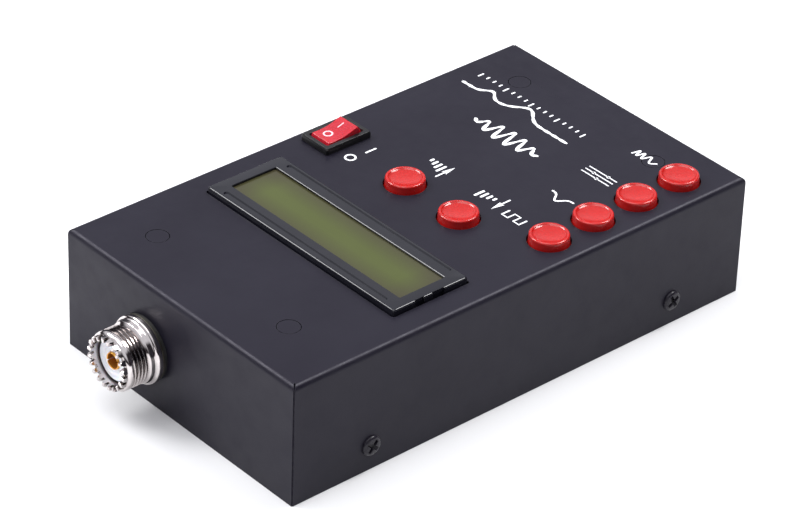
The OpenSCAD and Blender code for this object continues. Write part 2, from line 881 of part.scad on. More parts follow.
module antenna_solder_tag() {
    color([0.82, 0.8, 0.72])
    on_socket_axis(-sheet_t - tag_t - gap)
        difference() {
            union() {
                cylinder(r = tag_r, h = tag_t);
                translate([-tag_tail_l, -tag_tail_w / 2, 0]) cube([tag_tail_l, tag_tail_w, tag_t]);
            }
            translate([0, 0, -over]) cylinder(r = washer_bore_r, h = tag_t + 2 * over);
            translate([-tag_tail_l + tag_eye_inset, 0, -over])
                cylinder(r = tag_eye_r, h = tag_t + 2 * over, $fn = 24);
        }
}

// Both bare leads start at the socket's height and step down onto the main board at its edge.
module lead_to_board(x, from_y, edge_y) {
    lie_y = edge_y - lead_lie;
    color([0.78, 0.7, 0.5])
    wire([[x, from_y, socket_z], [x, from_y - lead_straight, socket_z],
        [x, edge_y + lead_straight, wire_rest(bare_r)], [x, lie_y, wire_rest(bare_r)]], bare_r);
}

module antenna_lead() {
    lead_to_board(socket_x, half_l - contact_stub_end - gap, socket_notch_y);
}

module ground_lead() {
    lead_to_board(socket_x - tag_tail_l + tag_eye_inset, half_l - sheet_t - tag_t - 2 * gap, board_y + board_l / 2);
}

// ---- Power and data sockets ----

module power_socket() {
    front = -half_l + sheet_t + end_clear;
    color([0.06, 0.06, 0.07])
    difference() {
        union() {
            translate([power_x, front + power_body[1] / 2, board_top]) centred_box(power_body);
            translate([power_x, front + eps, power_z])
                rotate([90, 0, 0]) cylinder(r = power_nose_r, h = power_nose_l + eps);
        }
        translate([power_x, front - power_nose_l - over, power_z])
            rotate([-90, 0, 0]) cylinder(r = power_bore_r, h = power_bore_depth + over);
    }
}

module power_pin() {
    root = -half_l + sheet_t + end_clear - power_nose_l + power_bore_depth;
    color([0.85, 0.83, 0.75])
    translate([power_x, root - gap, power_z])
        rotate([90, 0, 0]) {
            cylinder(r = power_pin_r, h = power_pin_l, $fn = 24);
            translate([0, 0, power_pin_l]) sphere(r = power_pin_r, $fn = 24);
        }
}

module data_shell() {
    color([0.8, 0.8, 0.78])
    translate([data_x, -half_l - data_reach + data_size[1] / 2, board_top])
    difference() {
        centred_box(data_size);
        translate([0, -over, data_wall])
            centred_box([data_size[0] - 2 * data_wall, data_size[1], data_size[2] - 2 * data_wall]);
    }
}

module data_tongue() {
    back = -half_l - data_reach + data_size[1] - tongue_inset;
    color([0.08, 0.08, 0.09])
    translate([data_x, back - tongue_size[1] / 2 - gap, board_top + (data_size[2] - tongue_size[2]) / 2])
        centred_box(tongue_size);
}

// ---- Circuits ----

// Each chip on the board: [x, y, width, length, height].
MICRO = [-4, -40, 7.2, 35, 3.4];
SIGNAL_CHIPS = [
    [16, -27, 5.3, 10.2, 1.6],
    [-15, -52, 5.3, 7.2, 1.6],
    [14, 34, 3.9, 8.6, 1.5],
    [-4, 20, 3.9, 8.6, 1.5]
];
micro_leg_count = 14;

// Where the other parts stand on the board, and their sizes.
CAN_AT = [20, -46];
can_size = [13.2, 20.8, 5.1];
can_bend = 0.9;
CRYSTAL_AT = [-16, -34];
crystal_size = [4.6, 11, 3.5];
TRIMMER_AT = [-19, -20];
trimmer_size = [6.8, 6.8, 4];
trimmer_dial_r = 2;
trimmer_dial_depth = 0.6;
REGULATOR_AT = [32, -40];
regulator_tab = [10, 15.5, 1.3];
regulator_body = [10, 9, 3.2];
regulator_body_y = -3;
regulator_hole_y = 5;
regulator_hole_r = 1.8;
CAPACITORS_AT = [[33, -22], [35.5, -57], [24.5, -22]];
capacitor_r = 4;
capacitor_crown_r = 3.6;
capacitor_h = 10.4;
capacitor_crown = 0.4;
COILS_AT = [[-24, 24], [-24, 14], [26, 14]];
coil_r = 3;
coil_section_r = 1.4;
BRIDGE_CORE_AT = [-9, 57.5];
bridge_core_r = 4.5;
bridge_core_section_r = 2.2;
RESISTORS_AT = [for (i = [0:3]) [-20 + 5 * i, 46.5]];
resistor_r = 1.2;
resistor_l = 6;

module chip_body(c) {
    translate([c[0], c[1], board_top + chip_lift]) centred_box([c[2], c[3], c[4]]);
}

module legs_of(c, pitch, count) {
    for (s = [-1, 1], i = [0:count - 1])
        translate([c[0] + s * (c[2] / 2 + leg_t / 2), c[1] + (i - (count - 1) / 2) * pitch, board_top])
            centred_box([leg_t, leg_w, chip_lift + c[4] / 2]);
}

module microcontroller() {
    color([0.07, 0.07, 0.08]) chip_body(MICRO);
}

module signal_chips() {
    color([0.07, 0.07, 0.08]) for (c = SIGNAL_CHIPS) chip_body(c);
}

module chip_legs() {
    fine_pitch = pin_pitch / 2;
    color([0.8, 0.8, 0.78]) {
        legs_of(MICRO, pin_pitch, micro_leg_count);
        for (c = SIGNAL_CHIPS) legs_of(c, fine_pitch, floor(c[3] / fine_pitch) - 1);
    }
}

module oscillator_can() {
    color([0.8, 0.8, 0.78])
    at_each([CAN_AT], board_top) folded_block(can_size[0], can_size[1], can_size[2], can_bend);
}

module crystal() {
    end_r = crystal_size[0] / 2 - 2 * gap;
    color([0.8, 0.8, 0.78])
    at_each([CRYSTAL_AT], board_top) rounded_slab(crystal_size[0], crystal_size[1], crystal_size[2], end_r);
}

module contrast_trimmer() {
    color([0.15, 0.35, 0.65])
    at_each([TRIMMER_AT], board_top)
        difference() {
            centred_box(trimmer_size);
            translate([0, 0, trimmer_size[2] - trimmer_dial_depth]) cylinder(r = trimmer_dial_r, h = over);
        }
}

module voltage_regulator() {
    color([0.2, 0.2, 0.21])
    at_each([REGULATOR_AT], board_top) {
        translate([0, regulator_body_y, regulator_tab[2]]) centred_box(regulator_body);
        difference() {
            centred_box(regulator_tab);
            translate([0, regulator_hole_y, -over])
                cylinder(r = regulator_hole_r, h = regulator_tab[2] + 2 * over);
        }
    }
}

module filter_capacitors() {
    color([0.1, 0.12, 0.3])
    at_each(CAPACITORS_AT, board_top) {
        cylinder(r = capacitor_r, h = capacitor_h);
        translate([0, 0, capacitor_h]) cylinder(r1 = capacitor_r, r2 = capacitor_crown_r, h = capacitor_crown);
    }
}

module toroid(r, section_r) {
    rotate_extrude() translate([r, section_r]) circle(r = section_r, $fn = 24);
}

module filter_coils() {
    color([0.75, 0.4, 0.2])
    at_each(COILS_AT, board_top + gap) toroid(coil_r, coil_section_r);
}

module bridge_toroid() {
    color([0.3, 0.3, 0.32])
    at_each([BRIDGE_CORE_AT], board_top + gap) toroid(bridge_core_r, bridge_core_section_r);
}

module bridge_resistors() {
    color([0.75, 0.65, 0.45])
    at_each(RESISTORS_AT, board_top + resistor_r + gap)
        rotate([90, 0, 0]) cylinder(r = resistor_r, h = resistor_l, center = true, $fn = 24);
}

module power_leads() {
    blade_side = rocker_x - terminal_w / 2 - gap;
    edge_x = notch_x - wire_r;
    color([0.7, 0.1, 0.1])
    for (terminal = terminal_y)
        translate([0, rocker_y + terminal, 0])
            wire([[blade_side, 0, power_lead_z], [blade_side - wire_r, 0, power_lead_z],
                [edge_x + 2 * wire_r, 0, wire_rest(wire_r)],
                [edge_x - power_lead_run, 0, wire_rest(wire_r)]], wire_r);
}

// ---- What is drawn ----

top_cover();
bottom_plate();
case_screws();
clinch_nuts();
panel_standoffs();
board_screws();
main_board();
lcd_frame();
lcd_glass();
lcd_backlight();
lcd_board();
lcd_header();
lcd_socket();
lcd_spacers();
lcd_screws();
up_button();
down_button();
mode_button();
band_button();
config_button();
scan_button();
up_plunger();
down_plunger();
mode_plunger();
band_plunger();
config_plunger();
scan_plunger();
switch_housings();
switch_plates();
switch_domes();
rocker_housing();
power_rocker();
rocker_pin();
contact_blade();
rocker_terminals();
antenna_shell();
antenna_insulator();
antenna_contact();
antenna_washer();
antenna_gasket();
antenna_nut();
antenna_solder_tag();
antenna_lead();
ground_lead();
power_socket();
power_pin();
data_shell();
data_tongue();
microcontroller();
signal_chips();
chip_legs();
oscillator_can();
crystal();
contrast_trimmer();
voltage_regulator();
filter_capacitors();
filter_coils();
bridge_toroid();
bridge_resistors();
power_leads();
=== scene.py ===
"""Looks of a handheld SWR meter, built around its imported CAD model.

Sizes in this file are millimetres and become metres when a mesh is finished. Places come from the
CAD frame: +X to the reader's right, +Y towards the antenna socket, +Z up out of the panel.
"""
import json
import math

import bmesh
import bpy
from mathutils import Matrix, Vector


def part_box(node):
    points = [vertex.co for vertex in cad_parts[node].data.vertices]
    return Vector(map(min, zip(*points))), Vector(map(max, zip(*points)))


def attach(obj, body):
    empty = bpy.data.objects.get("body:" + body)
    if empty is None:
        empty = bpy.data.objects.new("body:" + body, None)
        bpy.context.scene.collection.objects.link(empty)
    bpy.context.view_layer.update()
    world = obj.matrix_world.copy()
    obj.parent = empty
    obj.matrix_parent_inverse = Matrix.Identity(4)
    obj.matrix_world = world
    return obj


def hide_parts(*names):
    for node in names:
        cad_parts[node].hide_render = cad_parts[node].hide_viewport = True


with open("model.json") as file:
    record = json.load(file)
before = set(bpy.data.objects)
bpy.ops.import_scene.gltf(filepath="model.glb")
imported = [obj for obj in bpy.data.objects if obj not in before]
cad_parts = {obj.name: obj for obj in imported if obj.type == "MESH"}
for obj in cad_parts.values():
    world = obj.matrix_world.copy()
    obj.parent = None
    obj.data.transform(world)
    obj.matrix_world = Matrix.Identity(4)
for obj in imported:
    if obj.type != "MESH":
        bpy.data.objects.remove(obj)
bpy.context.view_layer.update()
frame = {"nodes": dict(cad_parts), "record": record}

MM = 0.001
TURN = 2 * math.pi
CORNERS = ((-1, -1), (1, -1), (1, 1), (-1, 1))
KEYS = ("up", "down", "mode", "band", "config", "scan")


def add_object(name, data):
    made = bpy.data.objects.new(name, data)
    bpy.context.scene.collection.objects.link(made)
    return made


# ---- Places in the frame, in millimetres ----

def low(node):
    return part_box(node)[0] / MM


def high(node):
    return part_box(node)[1] / MM


def middle(node):
    return (low(node) + high(node)) / 2


def size(node):
    return high(node) - low(node)


PANEL_Z = high("top_cover").z
HALF_W = high("top_cover").x
HALF_L = high("top_cover").y
SOCKET_X = middle("antenna_washer").x
SOCKET_Z = middle("antenna_washer").z
SCREW_Z = middle("case_screws").z
SCREW_R = size("case_screws").z / 2
SCREW_PITCH = size("case_screws").y - 2 * SCREW_R
LCD_WINDOW = (64.5, 14.5)
POWER_X = middle("power_pin").x
POWER_Z = middle("power_pin").z


# ---- Camera, floor and light ----

CAMERA_AT = Vector((-605.6, 551.0, 551.9))
CAMERA_TARGET = Vector((8.06, -3.8, 13.1))
CAMERA_ROLL = math.radians(2.08)
CAMERA_LENS = 173.58
CAMERA_CLIP = (0.05, 20)
SENSOR_W = 36.0


def facing(direction):
    """The rotation of a camera or a light that looks along a direction."""
    return direction.to_track_quat("-Z", "Y").to_matrix().to_4x4()


def add_camera():
    data = bpy.data.cameras.new("camera")
    data.lens = CAMERA_LENS
    data.sensor_width = SENSOR_W
    data.clip_start, data.clip_end = CAMERA_CLIP
    camera = add_object("camera", data)
    aim = facing(CAMERA_TARGET - CAMERA_AT) @ Matrix.Rotation(CAMERA_ROLL, 4, "Z")
    camera.matrix_world = Matrix.Translation(CAMERA_AT * MM) @ aim
    bpy.context.scene.camera = camera


# Discs that face the origin: (place in metres, width in metres, watts).
LIGHTS = {
    "overhead": ((0.1, 0.3, 1.3), 1.0, 7),
    "side_bend_glint": ((-0.2, -0.73, 1.05), 0.6, 15),
    "end_bend_glint": ((0.8, 0.45, 0.87), 0.6, 12),
}


def add_lights():
    for name, (place, width, power) in LIGHTS.items():
        data = bpy.data.lights.new(name, "AREA")
        data.shape = "DISK"
        data.size = width
        data.energy = power
        light = add_object(name, data)
        light.matrix_world = Matrix.Translation(place) @ facing(-Vector(place))


# The world is bright overhead, dark along the horizon, and has one tall dark flag to give the metal contrast.
WORLD_BRIGHT = (0.80, 0.81, 0.86)
WORLD_DARK = (0.03, 0.025, 0.03)
FLAG_DIRECTION = (-0.75, -0.66, 0)
FLAG_EDGE = (0.1, 0.5)
FLAG_TOP = (0.66, 0.80)
HORIZON_TOP = (0.16, 0.34)


def add_world():
    world = bpy.data.worlds.new("studio")
    world.use_nodes = True
    tree = world.node_tree
    toward = add_node(tree, "TexCoord").outputs["Generated"]
    across = add_node(tree, "VectorMath", {0: toward, 1: FLAG_DIRECTION}, operation="DOT_PRODUCT")
    height = add_node(tree, "SeparateXYZ", {"Vector": toward}).outputs["Z"]
    flag = calculate(tree, "MULTIPLY", remap(tree, across.outputs["Value"], *FLAG_EDGE, 0, 1),
                     remap(tree, height, *FLAG_TOP, 1, 0))
    dark = calculate(tree, "MAXIMUM", flag, remap(tree, height, *HORIZON_TOP, 1, 0))
    colour = blend_colours(tree, dark, WORLD_BRIGHT, WORLD_DARK)
    tree.links.new(colour, tree.nodes["Background"].inputs["Color"])
    bpy.context.scene.world = world
    bpy.context.scene.view_settings.view_transform = "Standard"


FLOOR_SIZE = 6000.0
FLOOR_DROP = 0.05


def add_floor():
    """A wide sheet, a hair under the case so that the two never share a plane."""
    bm = bmesh.new()
    bm.faces.new([bm.verts.new((x, y, -FLOOR_DROP)) for x, y in rectangle((0, 0), FLOOR_SIZE, FLOOR_SIZE)])
    floor = add_object("floor", finished_mesh(bm, "floor"))
    floor.data.transform(Matrix.Scale(MM, 4))
    floor.data.materials.append(floor_paper())


# ---- Material tools ----

def add_node(tree, kind, inputs=None, **settings):
    """Adds a shader node; each input is a plain value or a socket to link."""
    made = tree.nodes.new("ShaderNode" + kind)
    for key, value in settings.items():
        setattr(made, key, value)
    for key, value in (inputs or {}).items():
        if isinstance(value, bpy.types.NodeSocket):
            tree.links.new(value, made.inputs[key])
        else:
            made.inputs[key].default_value = value
    return made


def noise(tree, where, scale, detail=4.0, stretch=None):
    """Noise over the object's own coordinates; stretch scales each axis first."""
    if stretch:
        where = add_node(tree, "Mapping", {"Vector": where, "Scale": stretch}).outputs["Vector"]
    return add_node(tree, "TexNoise", {"Vector": where, "Scale": scale, "Detail": detail}).outputs["Fac"]


def remap(tree, value, low_in, high_in, low_out, high_out):
    """Maps a value socket from one range to another, held at the ends."""
    limits = {"From Min": low_in, "From Max": high_in, "To Min": low_out, "To Max": high_out}
    return add_node(tree, "MapRange", {"Value": value, **limits}).outputs["Result"]


def calculate(tree, operation, first, second=0.0):
    """A maths node over two values, each a number or a socket."""
    return add_node(tree, "Math", {0: first, 1: second}, operation=operation).outputs["Value"]


def blend_colours(tree, share, first, second):
    """Mixes two colours, each a tuple or a socket, by a share socket."""
    made = add_node(tree, "Mix", {"Factor": share}, data_type="RGBA")
    for key, colour in (("A", first), ("B", second)):
        socket = next(s for s in made.inputs if s.name == key and s.type == "RGBA")
        if isinstance(colour, tuple):
            socket.default_value = (*colour, 1)
        else:
            tree.links.new(colour, socket)
    return next(s for s in made.outputs if s.type == "RGBA")


def edge_share(tree, radius, low_in=0.02, high_in=0.25):
    """How near a sharp edge a point is, from 0 to 1."""
    rounded = add_node(tree, "Bevel", {"Radius": radius * MM}, samples=4).outputs["Normal"]
    flat = add_node(tree, "NewGeometry").outputs["Normal"]
    dot = add_node(tree, "VectorMath", {0: rounded, 1: flat}, operation="DOT_PRODUCT")
    return remap(tree, dot.outputs["Value"], 1 - low_in, 1 - high_in, 0, 1)


NOISE_SPREAD = (0.3, 0.7)
WEAR_SCALE = 900
WEAR_SPREAD = (0.4, 0.65)


def surface(colour, shade, roughness, blotch=60.0, smudge=180.0, grain=(), wear=None, **sockets):
    """A Principled material with mottled colour, uneven roughness, grain and, on request, worn edges.

    colour and shade are the two ends of the mottling and roughness is its (lowest, highest) value.
    blotch and smudge are noise scales per metre. grain lists (scale per metre, height in mm) and may
    add a stretch. wear is (colour, radius in mm, share).
    """
    material = bpy.data.materials.new("surface")
    material.use_nodes = True
    tree = material.node_tree
    shader = tree.nodes["Principled BSDF"]
    where = add_node(tree, "TexCoord").outputs["Object"]
    mottle = remap(tree, noise(tree, where, blotch), *NOISE_SPREAD, 0, 1)
    tint = blend_colours(tree, mottle, colour, shade)
    if wear:
        patches = remap(tree, noise(tree, where, WEAR_SCALE), *WEAR_SPREAD, 0, wear[2])
        scuff = calculate(tree, "MULTIPLY", edge_share(tree, wear[1]), patches)
        tint = blend_colours(tree, scuff, tint, wear[0])
    tree.links.new(tint, shader.inputs["Base Color"])
    rough = remap(tree, noise(tree, where, smudge, 6.0), *NOISE_SPREAD, *roughness)
    tree.links.new(rough, shader.inputs["Roughness"])
    normal = None
    for scale, height, *stretch in grain:
        relief = noise(tree, where, scale, 3.0, *stretch)
        layer = add_node(tree, "Bump", {"Distance": height * MM, "Height": relief})
        if normal:
            tree.links.new(normal, layer.inputs["Normal"])
        normal = layer.outputs["Normal"]
    if normal:
        tree.links.new(normal, shader.inputs["Normal"])
    for key, value in sockets.items():
        shader.inputs[key.replace("_", " ")].default_value = value
    return material


def floor_paper():
    return surface((0.78, 0.78, 0.79), (0.75, 0.75, 0.76), (0.7, 0.8), 4, 30, [(900, 0.02)])


# ---- Mesh tools ----

def arc(centre, radius, start, stop, steps):
    """Points along an arc, angles in degrees."""
    angles = [math.radians(start + (stop - start) * i / steps) for i in range(steps + 1)]
    return [(centre[0] + radius * math.cos(a), centre[1] + radius * math.sin(a)) for a in angles]


def circle(centre, radius, count=64):
    return arc(centre, radius, 0, 360 - 360 / count, count - 1)


def rectangle(centre, width, depth):
    return [(centre[0] + sx * width / 2, centre[1] + sy * depth / 2) for sx, sy in CORNERS]


def rounded_rectangle(centre, width, depth, radius, steps=5):
    x, y = width / 2 - radius, depth / 2 - radius
    points = []
    for sx, sy, start in ((1, 1, 0), (-1, 1, 90), (-1, -1, 180), (1, -1, 270)):
        points += arc((centre[0] + sx * x, centre[1] + sy * y), radius, start, start + 90, steps)
    return points


def filleted(points, steps=4):
    """An open outline of (u, v, corner radius) points with its corners rounded."""
    made = []
    for i, point in enumerate(points):
        here = Vector(point[:2])
        radius = point[2] if len(point) > 2 else 0
        if radius == 0 or i in (0, len(points) - 1):
            made.append(tuple(here))
            continue
        back = (Vector(points[i - 1][:2]) - here).normalized()
        on = (Vector(points[i + 1][:2]) - here).normalized()
        half = back.angle(on) / 2
        centre = here + (back + on).normalized() * radius / math.sin(half)
        first = here + back * radius / math.tan(half) - centre
        swing = first.angle_signed(here + on * radius / math.tan(half) - centre)
        for step in range(steps + 1):
            made.append(tuple(centre + Matrix.Rotation(-swing * step / steps, 2) @ first))
    return made


MERGE = 0.001


def plain(x, y, z):
    return Vector((x, y, z))


def along_socket(x, y, out):
    """Places a point about the antenna socket's axis, out being measured from the end wall."""
    return Vector((SOCKET_X + x, HALF_L + out, SOCKET_Z - y))


def join_loops(bm, loops, closed=False, around=True):
    """Quads between neighbouring loops of vertices; a loop may repeat one vertex as a pole."""
    pairs = list(zip(loops, loops[1:] + loops[:1])) if closed else list(zip(loops, loops[1:]))
    for first, second in pairs:
        count = len(first)
        for i in range(count if around else count - 1):
            j = (i + 1) % count
            corners = []
            for vert in (first[i], first[j], second[j], second[i]):
                if vert not in corners:
                    corners.append(vert)
            if len(corners) > 2:
                bm.faces.new(corners)


def lathe(bm, profile, place=plain, segments=96, closed=False):
    """Turns a profile about its own axis.

    A point is (radius, height), or a function that gives it for a share of a turn from 0 to 1.
    """
    loops = []
    for point in profile:
        if not callable(point) and point[0] < MERGE:
            loops.append([bm.verts.new(place(0, 0, point[1]))] * segments)
            continue
        loop = []
        for i in range(segments):
            radius, height = point(i / segments) if callable(point) else point
            angle = TURN * i / segments
            loop.append(bm.verts.new(place(radius * math.cos(angle), radius * math.sin(angle), height)))
        loops.append(loop)
    join_loops(bm, loops, closed)
    return bm


def loft(bm, outlines, place=plain, capped=True):
    """A skin over outlines given as (list of (x, y), z), with flat ends."""
    loops = [[bm.verts.new(place(x, y, z)) for x, y in points] for points, z in outlines]
    join_loops(bm, loops)
    if capped:
        bm.faces.new(reversed(loops[0]))
        bm.faces.new(loops[-1])
    return bm


def block(bm, centre, width, depth, height, place=plain):
    """A box whose foot is centred at centre."""
    outline = rectangle(centre, width, depth)
    loft(bm, [(outline, centre[2]), (outline, centre[2] + height)], place)


def fill(bm, outline, holes, place):
    """Fills a flat outline that may have holes."""
    edges = []
    for points in [outline] + holes:
        verts = [bm.verts.new(place(u, v)) for u, v in points]
        edges += [bm.edges.new((verts[i - 1], verts[i])) for i in range(len(verts))]
    bmesh.ops.triangle_fill(bm, use_beauty=True, edges=edges)


def finished_mesh(bm, name):
    """Merges doubled points, turns the faces outward and hands the working mesh over."""
    bmesh.ops.remove_doubles(bm, verts=bm.verts, dist=MERGE)
    bmesh.ops.recalc_face_normals(bm, faces=bm.faces)
    mesh = bpy.data.meshes.new(name)
    bm.to_mesh(mesh)
    bm.free()
    return mesh


def add_piece(name, bm, look, replaces=(), body="case", bevel=0.0, thick=0.0, sharp=35):
    """Finishes a piece: modifiers, smooth shading, body, look and the CAD nodes that it stands for.

    look names a material. bevel and thick are in millimetres and sharp is in degrees.
    """
    mesh = finished_mesh(bm, name)
    mesh.transform(Matrix.Scale(MM, 4))
    piece = add_object(name, mesh)
    mesh.shade_smooth()
    mesh.set_sharp_from_angle(angle=math.radians(sharp))
    if thick:
        solid = piece.modifiers.new("thickness", "SOLIDIFY")
        solid.thickness = thick * MM
        solid.offset = -1
        solid.use_even_offset = True
    if bevel:
        edge = piece.modifiers.new("edges", "BEVEL")
        edge.width = bevel * MM
        edge.segments = 2
        edge.limit_method = "ANGLE"
        edge.angle_limit = math.radians(sharp)
        edge.harden_normals = True
    mesh.materials.append(MATERIALS[look])
    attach(piece, body)
    if replaces:
        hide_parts(*replaces)


def rotated(point, angle):
    return tuple(Matrix.Rotation(angle, 2) @ Vector(point))


def carve(bm, tools):
    """Cuts a list of working meshes out of a working mesh and returns the result as a new one."""
    solid, *cutters = [add_object("temporary", finished_mesh(part, "temporary")) for part in [bm, *tools]]
    for cutter in cutters:
        boolean = solid.modifiers.new("cut", "BOOLEAN")
        boolean.operation = "DIFFERENCE"
        boolean.solver = "EXACT"
        boolean.object = cutter
    made = bmesh.new()
    made.from_mesh(solid.evaluated_get(bpy.context.evaluated_depsgraph_get()).to_mesh())
    for spent in [solid] + cutters:
        bpy.data.objects.remove(spent)
    return made


# ---- Materials ----

# Painted shade for the nickel's grooves: how far the occlusion looks, how occlusion maps to shade, and the
# shade's colour.
GROOVE_SHADE_REACH = 1.0
GROOVE_SHADE_SPREAD = (0.5, 0.95, 0.92, 0)
GROOVE_SHADE_COLOUR = (0.045, 0.032, 0.028)
# Painted shade at the edges of the display window: fade widths along X and Y, the shade's colour and its
# strongest share.
CELL_SHADE_FADE = (7, 6)
CELL_EDGE_SHADE = (0.040, 0.033, 0.021)
CELL_EDGE_SHADE_SHARE = 0.7


def case_paint():
    return surface((0.009, 0.008, 0.014), (0.012, 0.011, 0.018), (0.34, 0.46), 45, 260,
                   [(2600, 0.012), (700, 0.01)], ((0.10, 0.10, 0.11), 0.25, 0.5), Specular_IOR_Level=0.2,
                   Specular_Tint=(0.90, 0.87, 1.0, 1))


def black_screw():
    return surface((0.012, 0.010, 0.016), (0.018, 0.016, 0.024), (0.22, 0.36), 900, 1200,
                   [(3500, 0.006)], ((0.12, 0.12, 0.12), 0.1, 0.5), Specular_IOR_Level=0.3)


def lcd_paint():
    return surface((0.006, 0.006, 0.010), (0.009, 0.009, 0.014), (0.08, 0.15), 120, 300,
                   [(1500, 0.002)], ((0.12, 0.12, 0.12), 0.1, 0.5), Specular_IOR_Level=0.42)


def black_plastic():
    return surface((0.004, 0.004, 0.005), (0.007, 0.007, 0.008), (0.26, 0.38), 200, 500,
                   [(4000, 0.008)], ((0.05, 0.05, 0.05), 0.15, 0.5), Specular_IOR_Level=0.4)


def red_plastic():
    return surface((0.41, 0.010, 0.009), (0.40, 0.009, 0.007), (0.14, 0.22), 150, 400,
                   [(1200, 0.004)], Subsurface_Weight=0.5, Subsurface_Scale=0.001,
                   Subsurface_Radius=(1.0, 0.15, 0.12))


def rocker_red():
    return surface((0.44, 0.014, 0.028), (0.38, 0.010, 0.022), (0.22, 0.32), 150, 400,
                   [(1200, 0.004)], Subsurface_Weight=0.6, Subsurface_Scale=0.0015,
                   Subsurface_Radius=(1.0, 0.15, 0.15))


def nickel():
    """Bright plating, with painted shade darkening its grooves and other hollows."""
    material = surface((0.74, 0.69, 0.68), (0.64, 0.59, 0.58), (0.07, 0.15), 250, 700,
                       [(2500, 0.004)], Metallic=1.0)
    tree = material.node_tree
    shader = tree.nodes["Principled BSDF"]
    # Painted shade: ambient occlusion darkens the plating's colour in its grooves.
    groove_occlusion = add_node(tree, "AmbientOcclusion", {"Distance": GROOVE_SHADE_REACH * MM}, samples=6)
    unshaded = shader.inputs["Base Color"].links[0].from_socket
    share = remap(tree, groove_occlusion.outputs["AO"], *GROOVE_SHADE_SPREAD)
    tree.links.new(blend_colours(tree, share, unshaded, GROOVE_SHADE_COLOUR), shader.inputs["Base Color"])
    return material


# Painted shade: a plated washer given the dark olive colour it shows in shade.
def dark_washer():
    return surface((0.10, 0.095, 0.08), (0.07, 0.065, 0.055), (0.35, 0.5), 400, 800,
                   [(2500, 0.01)], Metallic=0.9)


def gilt():
    return surface((0.86, 0.46, 0.10), (0.78, 0.38, 0.07), (0.28, 0.42), 400, 900,
                   [(3000, 0.004)], Metallic=0.85)


def ptfe():
    return surface((0.84, 0.86, 0.92), (0.78, 0.80, 0.86), (0.3, 0.4), 200, 600,
                   [(2500, 0.008)], Subsurface_Weight=0.15, Subsurface_Scale=0.0005)


def gasket_rubber():
    return surface((0.012, 0.012, 0.012), (0.02, 0.02, 0.02), (0.6, 0.75), 300, 500, [(3000, 0.02)])


def mark_ink():
    return surface((0.86, 0.52, 0.56), (0.80, 0.46, 0.50), (0.35, 0.5), 300, 600, [(3500, 0.006)])


def print_ink():
    return surface((0.82, 0.83, 0.86), (0.76, 0.77, 0.8), (0.35, 0.5), 300, 600, [(3500, 0.006)])


def lcd_cell():
    """Yellow-green liquid crystal, with painted shade that makes it darker and browner towards the edges of
    its window.
    """
    material = surface((0.061, 0.073, 0.021), (0.056, 0.067, 0.018), (0.1, 0.16), 60, 200,
                       [(800, 0.002)], Specular_IOR_Level=0.22)
    tree = material.node_tree
    shader = tree.nodes["Principled BSDF"]
    centre = middle("lcd_glass") * MM
    axes = add_node(tree, "SeparateXYZ", {"Vector": add_node(tree, "TexCoord").outputs["Object"]})
    colour = shader.inputs["Base Color"].links[0].from_socket
    # Painted shade: the colour darkens and browns towards each edge of the window.
    for axis, place, width, fade in zip("XY", centre, LCD_WINDOW, CELL_SHADE_FADE):
        distance = calculate(tree, "ABSOLUTE", calculate(tree, "SUBTRACT", axes.outputs[axis], place))
        share = remap(tree, distance, (width / 2 - fade) * MM, width / 2 * MM, 0, CELL_EDGE_SHADE_SHARE)
        colour = blend_colours(tree, share, colour, CELL_EDGE_SHADE)
    tree.links.new(colour, shader.inputs["Base Color"])
    return material


def bright_steel():
    return surface((0.6, 0.6, 0.58), (0.5, 0.5, 0.49), (0.25, 0.38), 300, 700,
                   [(1500, 0.006, (1, 1, 8))], Metallic=1.0)


def board_green():
    return surface((0.02, 0.12, 0.05), (0.015, 0.085, 0.035), (0.25, 0.35), 300, 400,
                   [(1800, 0.01)], Specular_IOR_Level=0.6)


def diffuser():
    return surface((0.62, 0.72, 0.4), (0.56, 0.66, 0.36), (0.4, 0.5), 100, 300, [(2500, 0.006)])


def nylon():
    return surface((0.78, 0.77, 0.7), (0.72, 0.71, 0.64), (0.4, 0.5), 200, 400, [(2500, 0.01)],
                   Subsurface_Weight=0.2, Subsurface_Scale=0.001)


def epoxy():
    return surface((0.018, 0.018, 0.02), (0.026, 0.026, 0.028), (0.5, 0.65), 400, 900, [(5000, 0.012)])


def tinned():
    return surface((0.6, 0.59, 0.56), (0.5, 0.49, 0.46), (0.3, 0.45), 600, 1200,
                   [(2500, 0.01)], Metallic=1.0)


def copper():
    return surface((0.7, 0.28, 0.12), (0.58, 0.22, 0.1), (0.22, 0.36), 500, 900,
                   [(3000, 0.006)], Metallic=1.0)


def trimmer_blue():
    return surface((0.03, 0.12, 0.38), (0.025, 0.1, 0.32), (0.35, 0.45), 300, 500, [(3000, 0.008)])


def sleeve():
    return surface((0.02, 0.025, 0.1), (0.016, 0.02, 0.08), (0.25, 0.35), 300, 500, [(900, 0.01)])


def ferrite():
    return surface((0.06, 0.06, 0.065), (0.04, 0.04, 0.045), (0.5, 0.65), 600, 900, [(3500, 0.03)])


def resistor_paint():
    return surface((0.5, 0.36, 0.17), (0.44, 0.31, 0.14), (0.3, 0.4), 400, 600, [(2000, 0.01)])


def wire_red():
    return surface((0.45, 0.015, 0.015), (0.4, 0.012, 0.012), (0.35, 0.45), 300, 500, [(1500, 0.01)])


MATERIALS = {make.__name__: make() for make in (
    case_paint, black_screw, bright_steel, board_green, black_plastic, lcd_paint, lcd_cell, diffuser, nylon,
    red_plastic, nickel, ptfe, gilt, dark_washer, gasket_rubber, epoxy, tinned, copper, trimmer_blue, sleeve,
    ferrite, resistor_paint, wire_red, print_ink, mark_ink, rocker_red)}
for name, material in MATERIALS.items():
    material.name = name


def paint_frame():
    """Gives each CAD node the material of its slot in the record."""
    for part in frame["record"]["subparts"]:
        node = frame["nodes"].get(part["node"])
        if node is None:
            continue
        look = MATERIALS[part["material_slot"]]
        if not node.data.materials:
            node.data.materials.append(look)
        for slot in node.material_slots:
            slot.material = look


# ---- Case ----

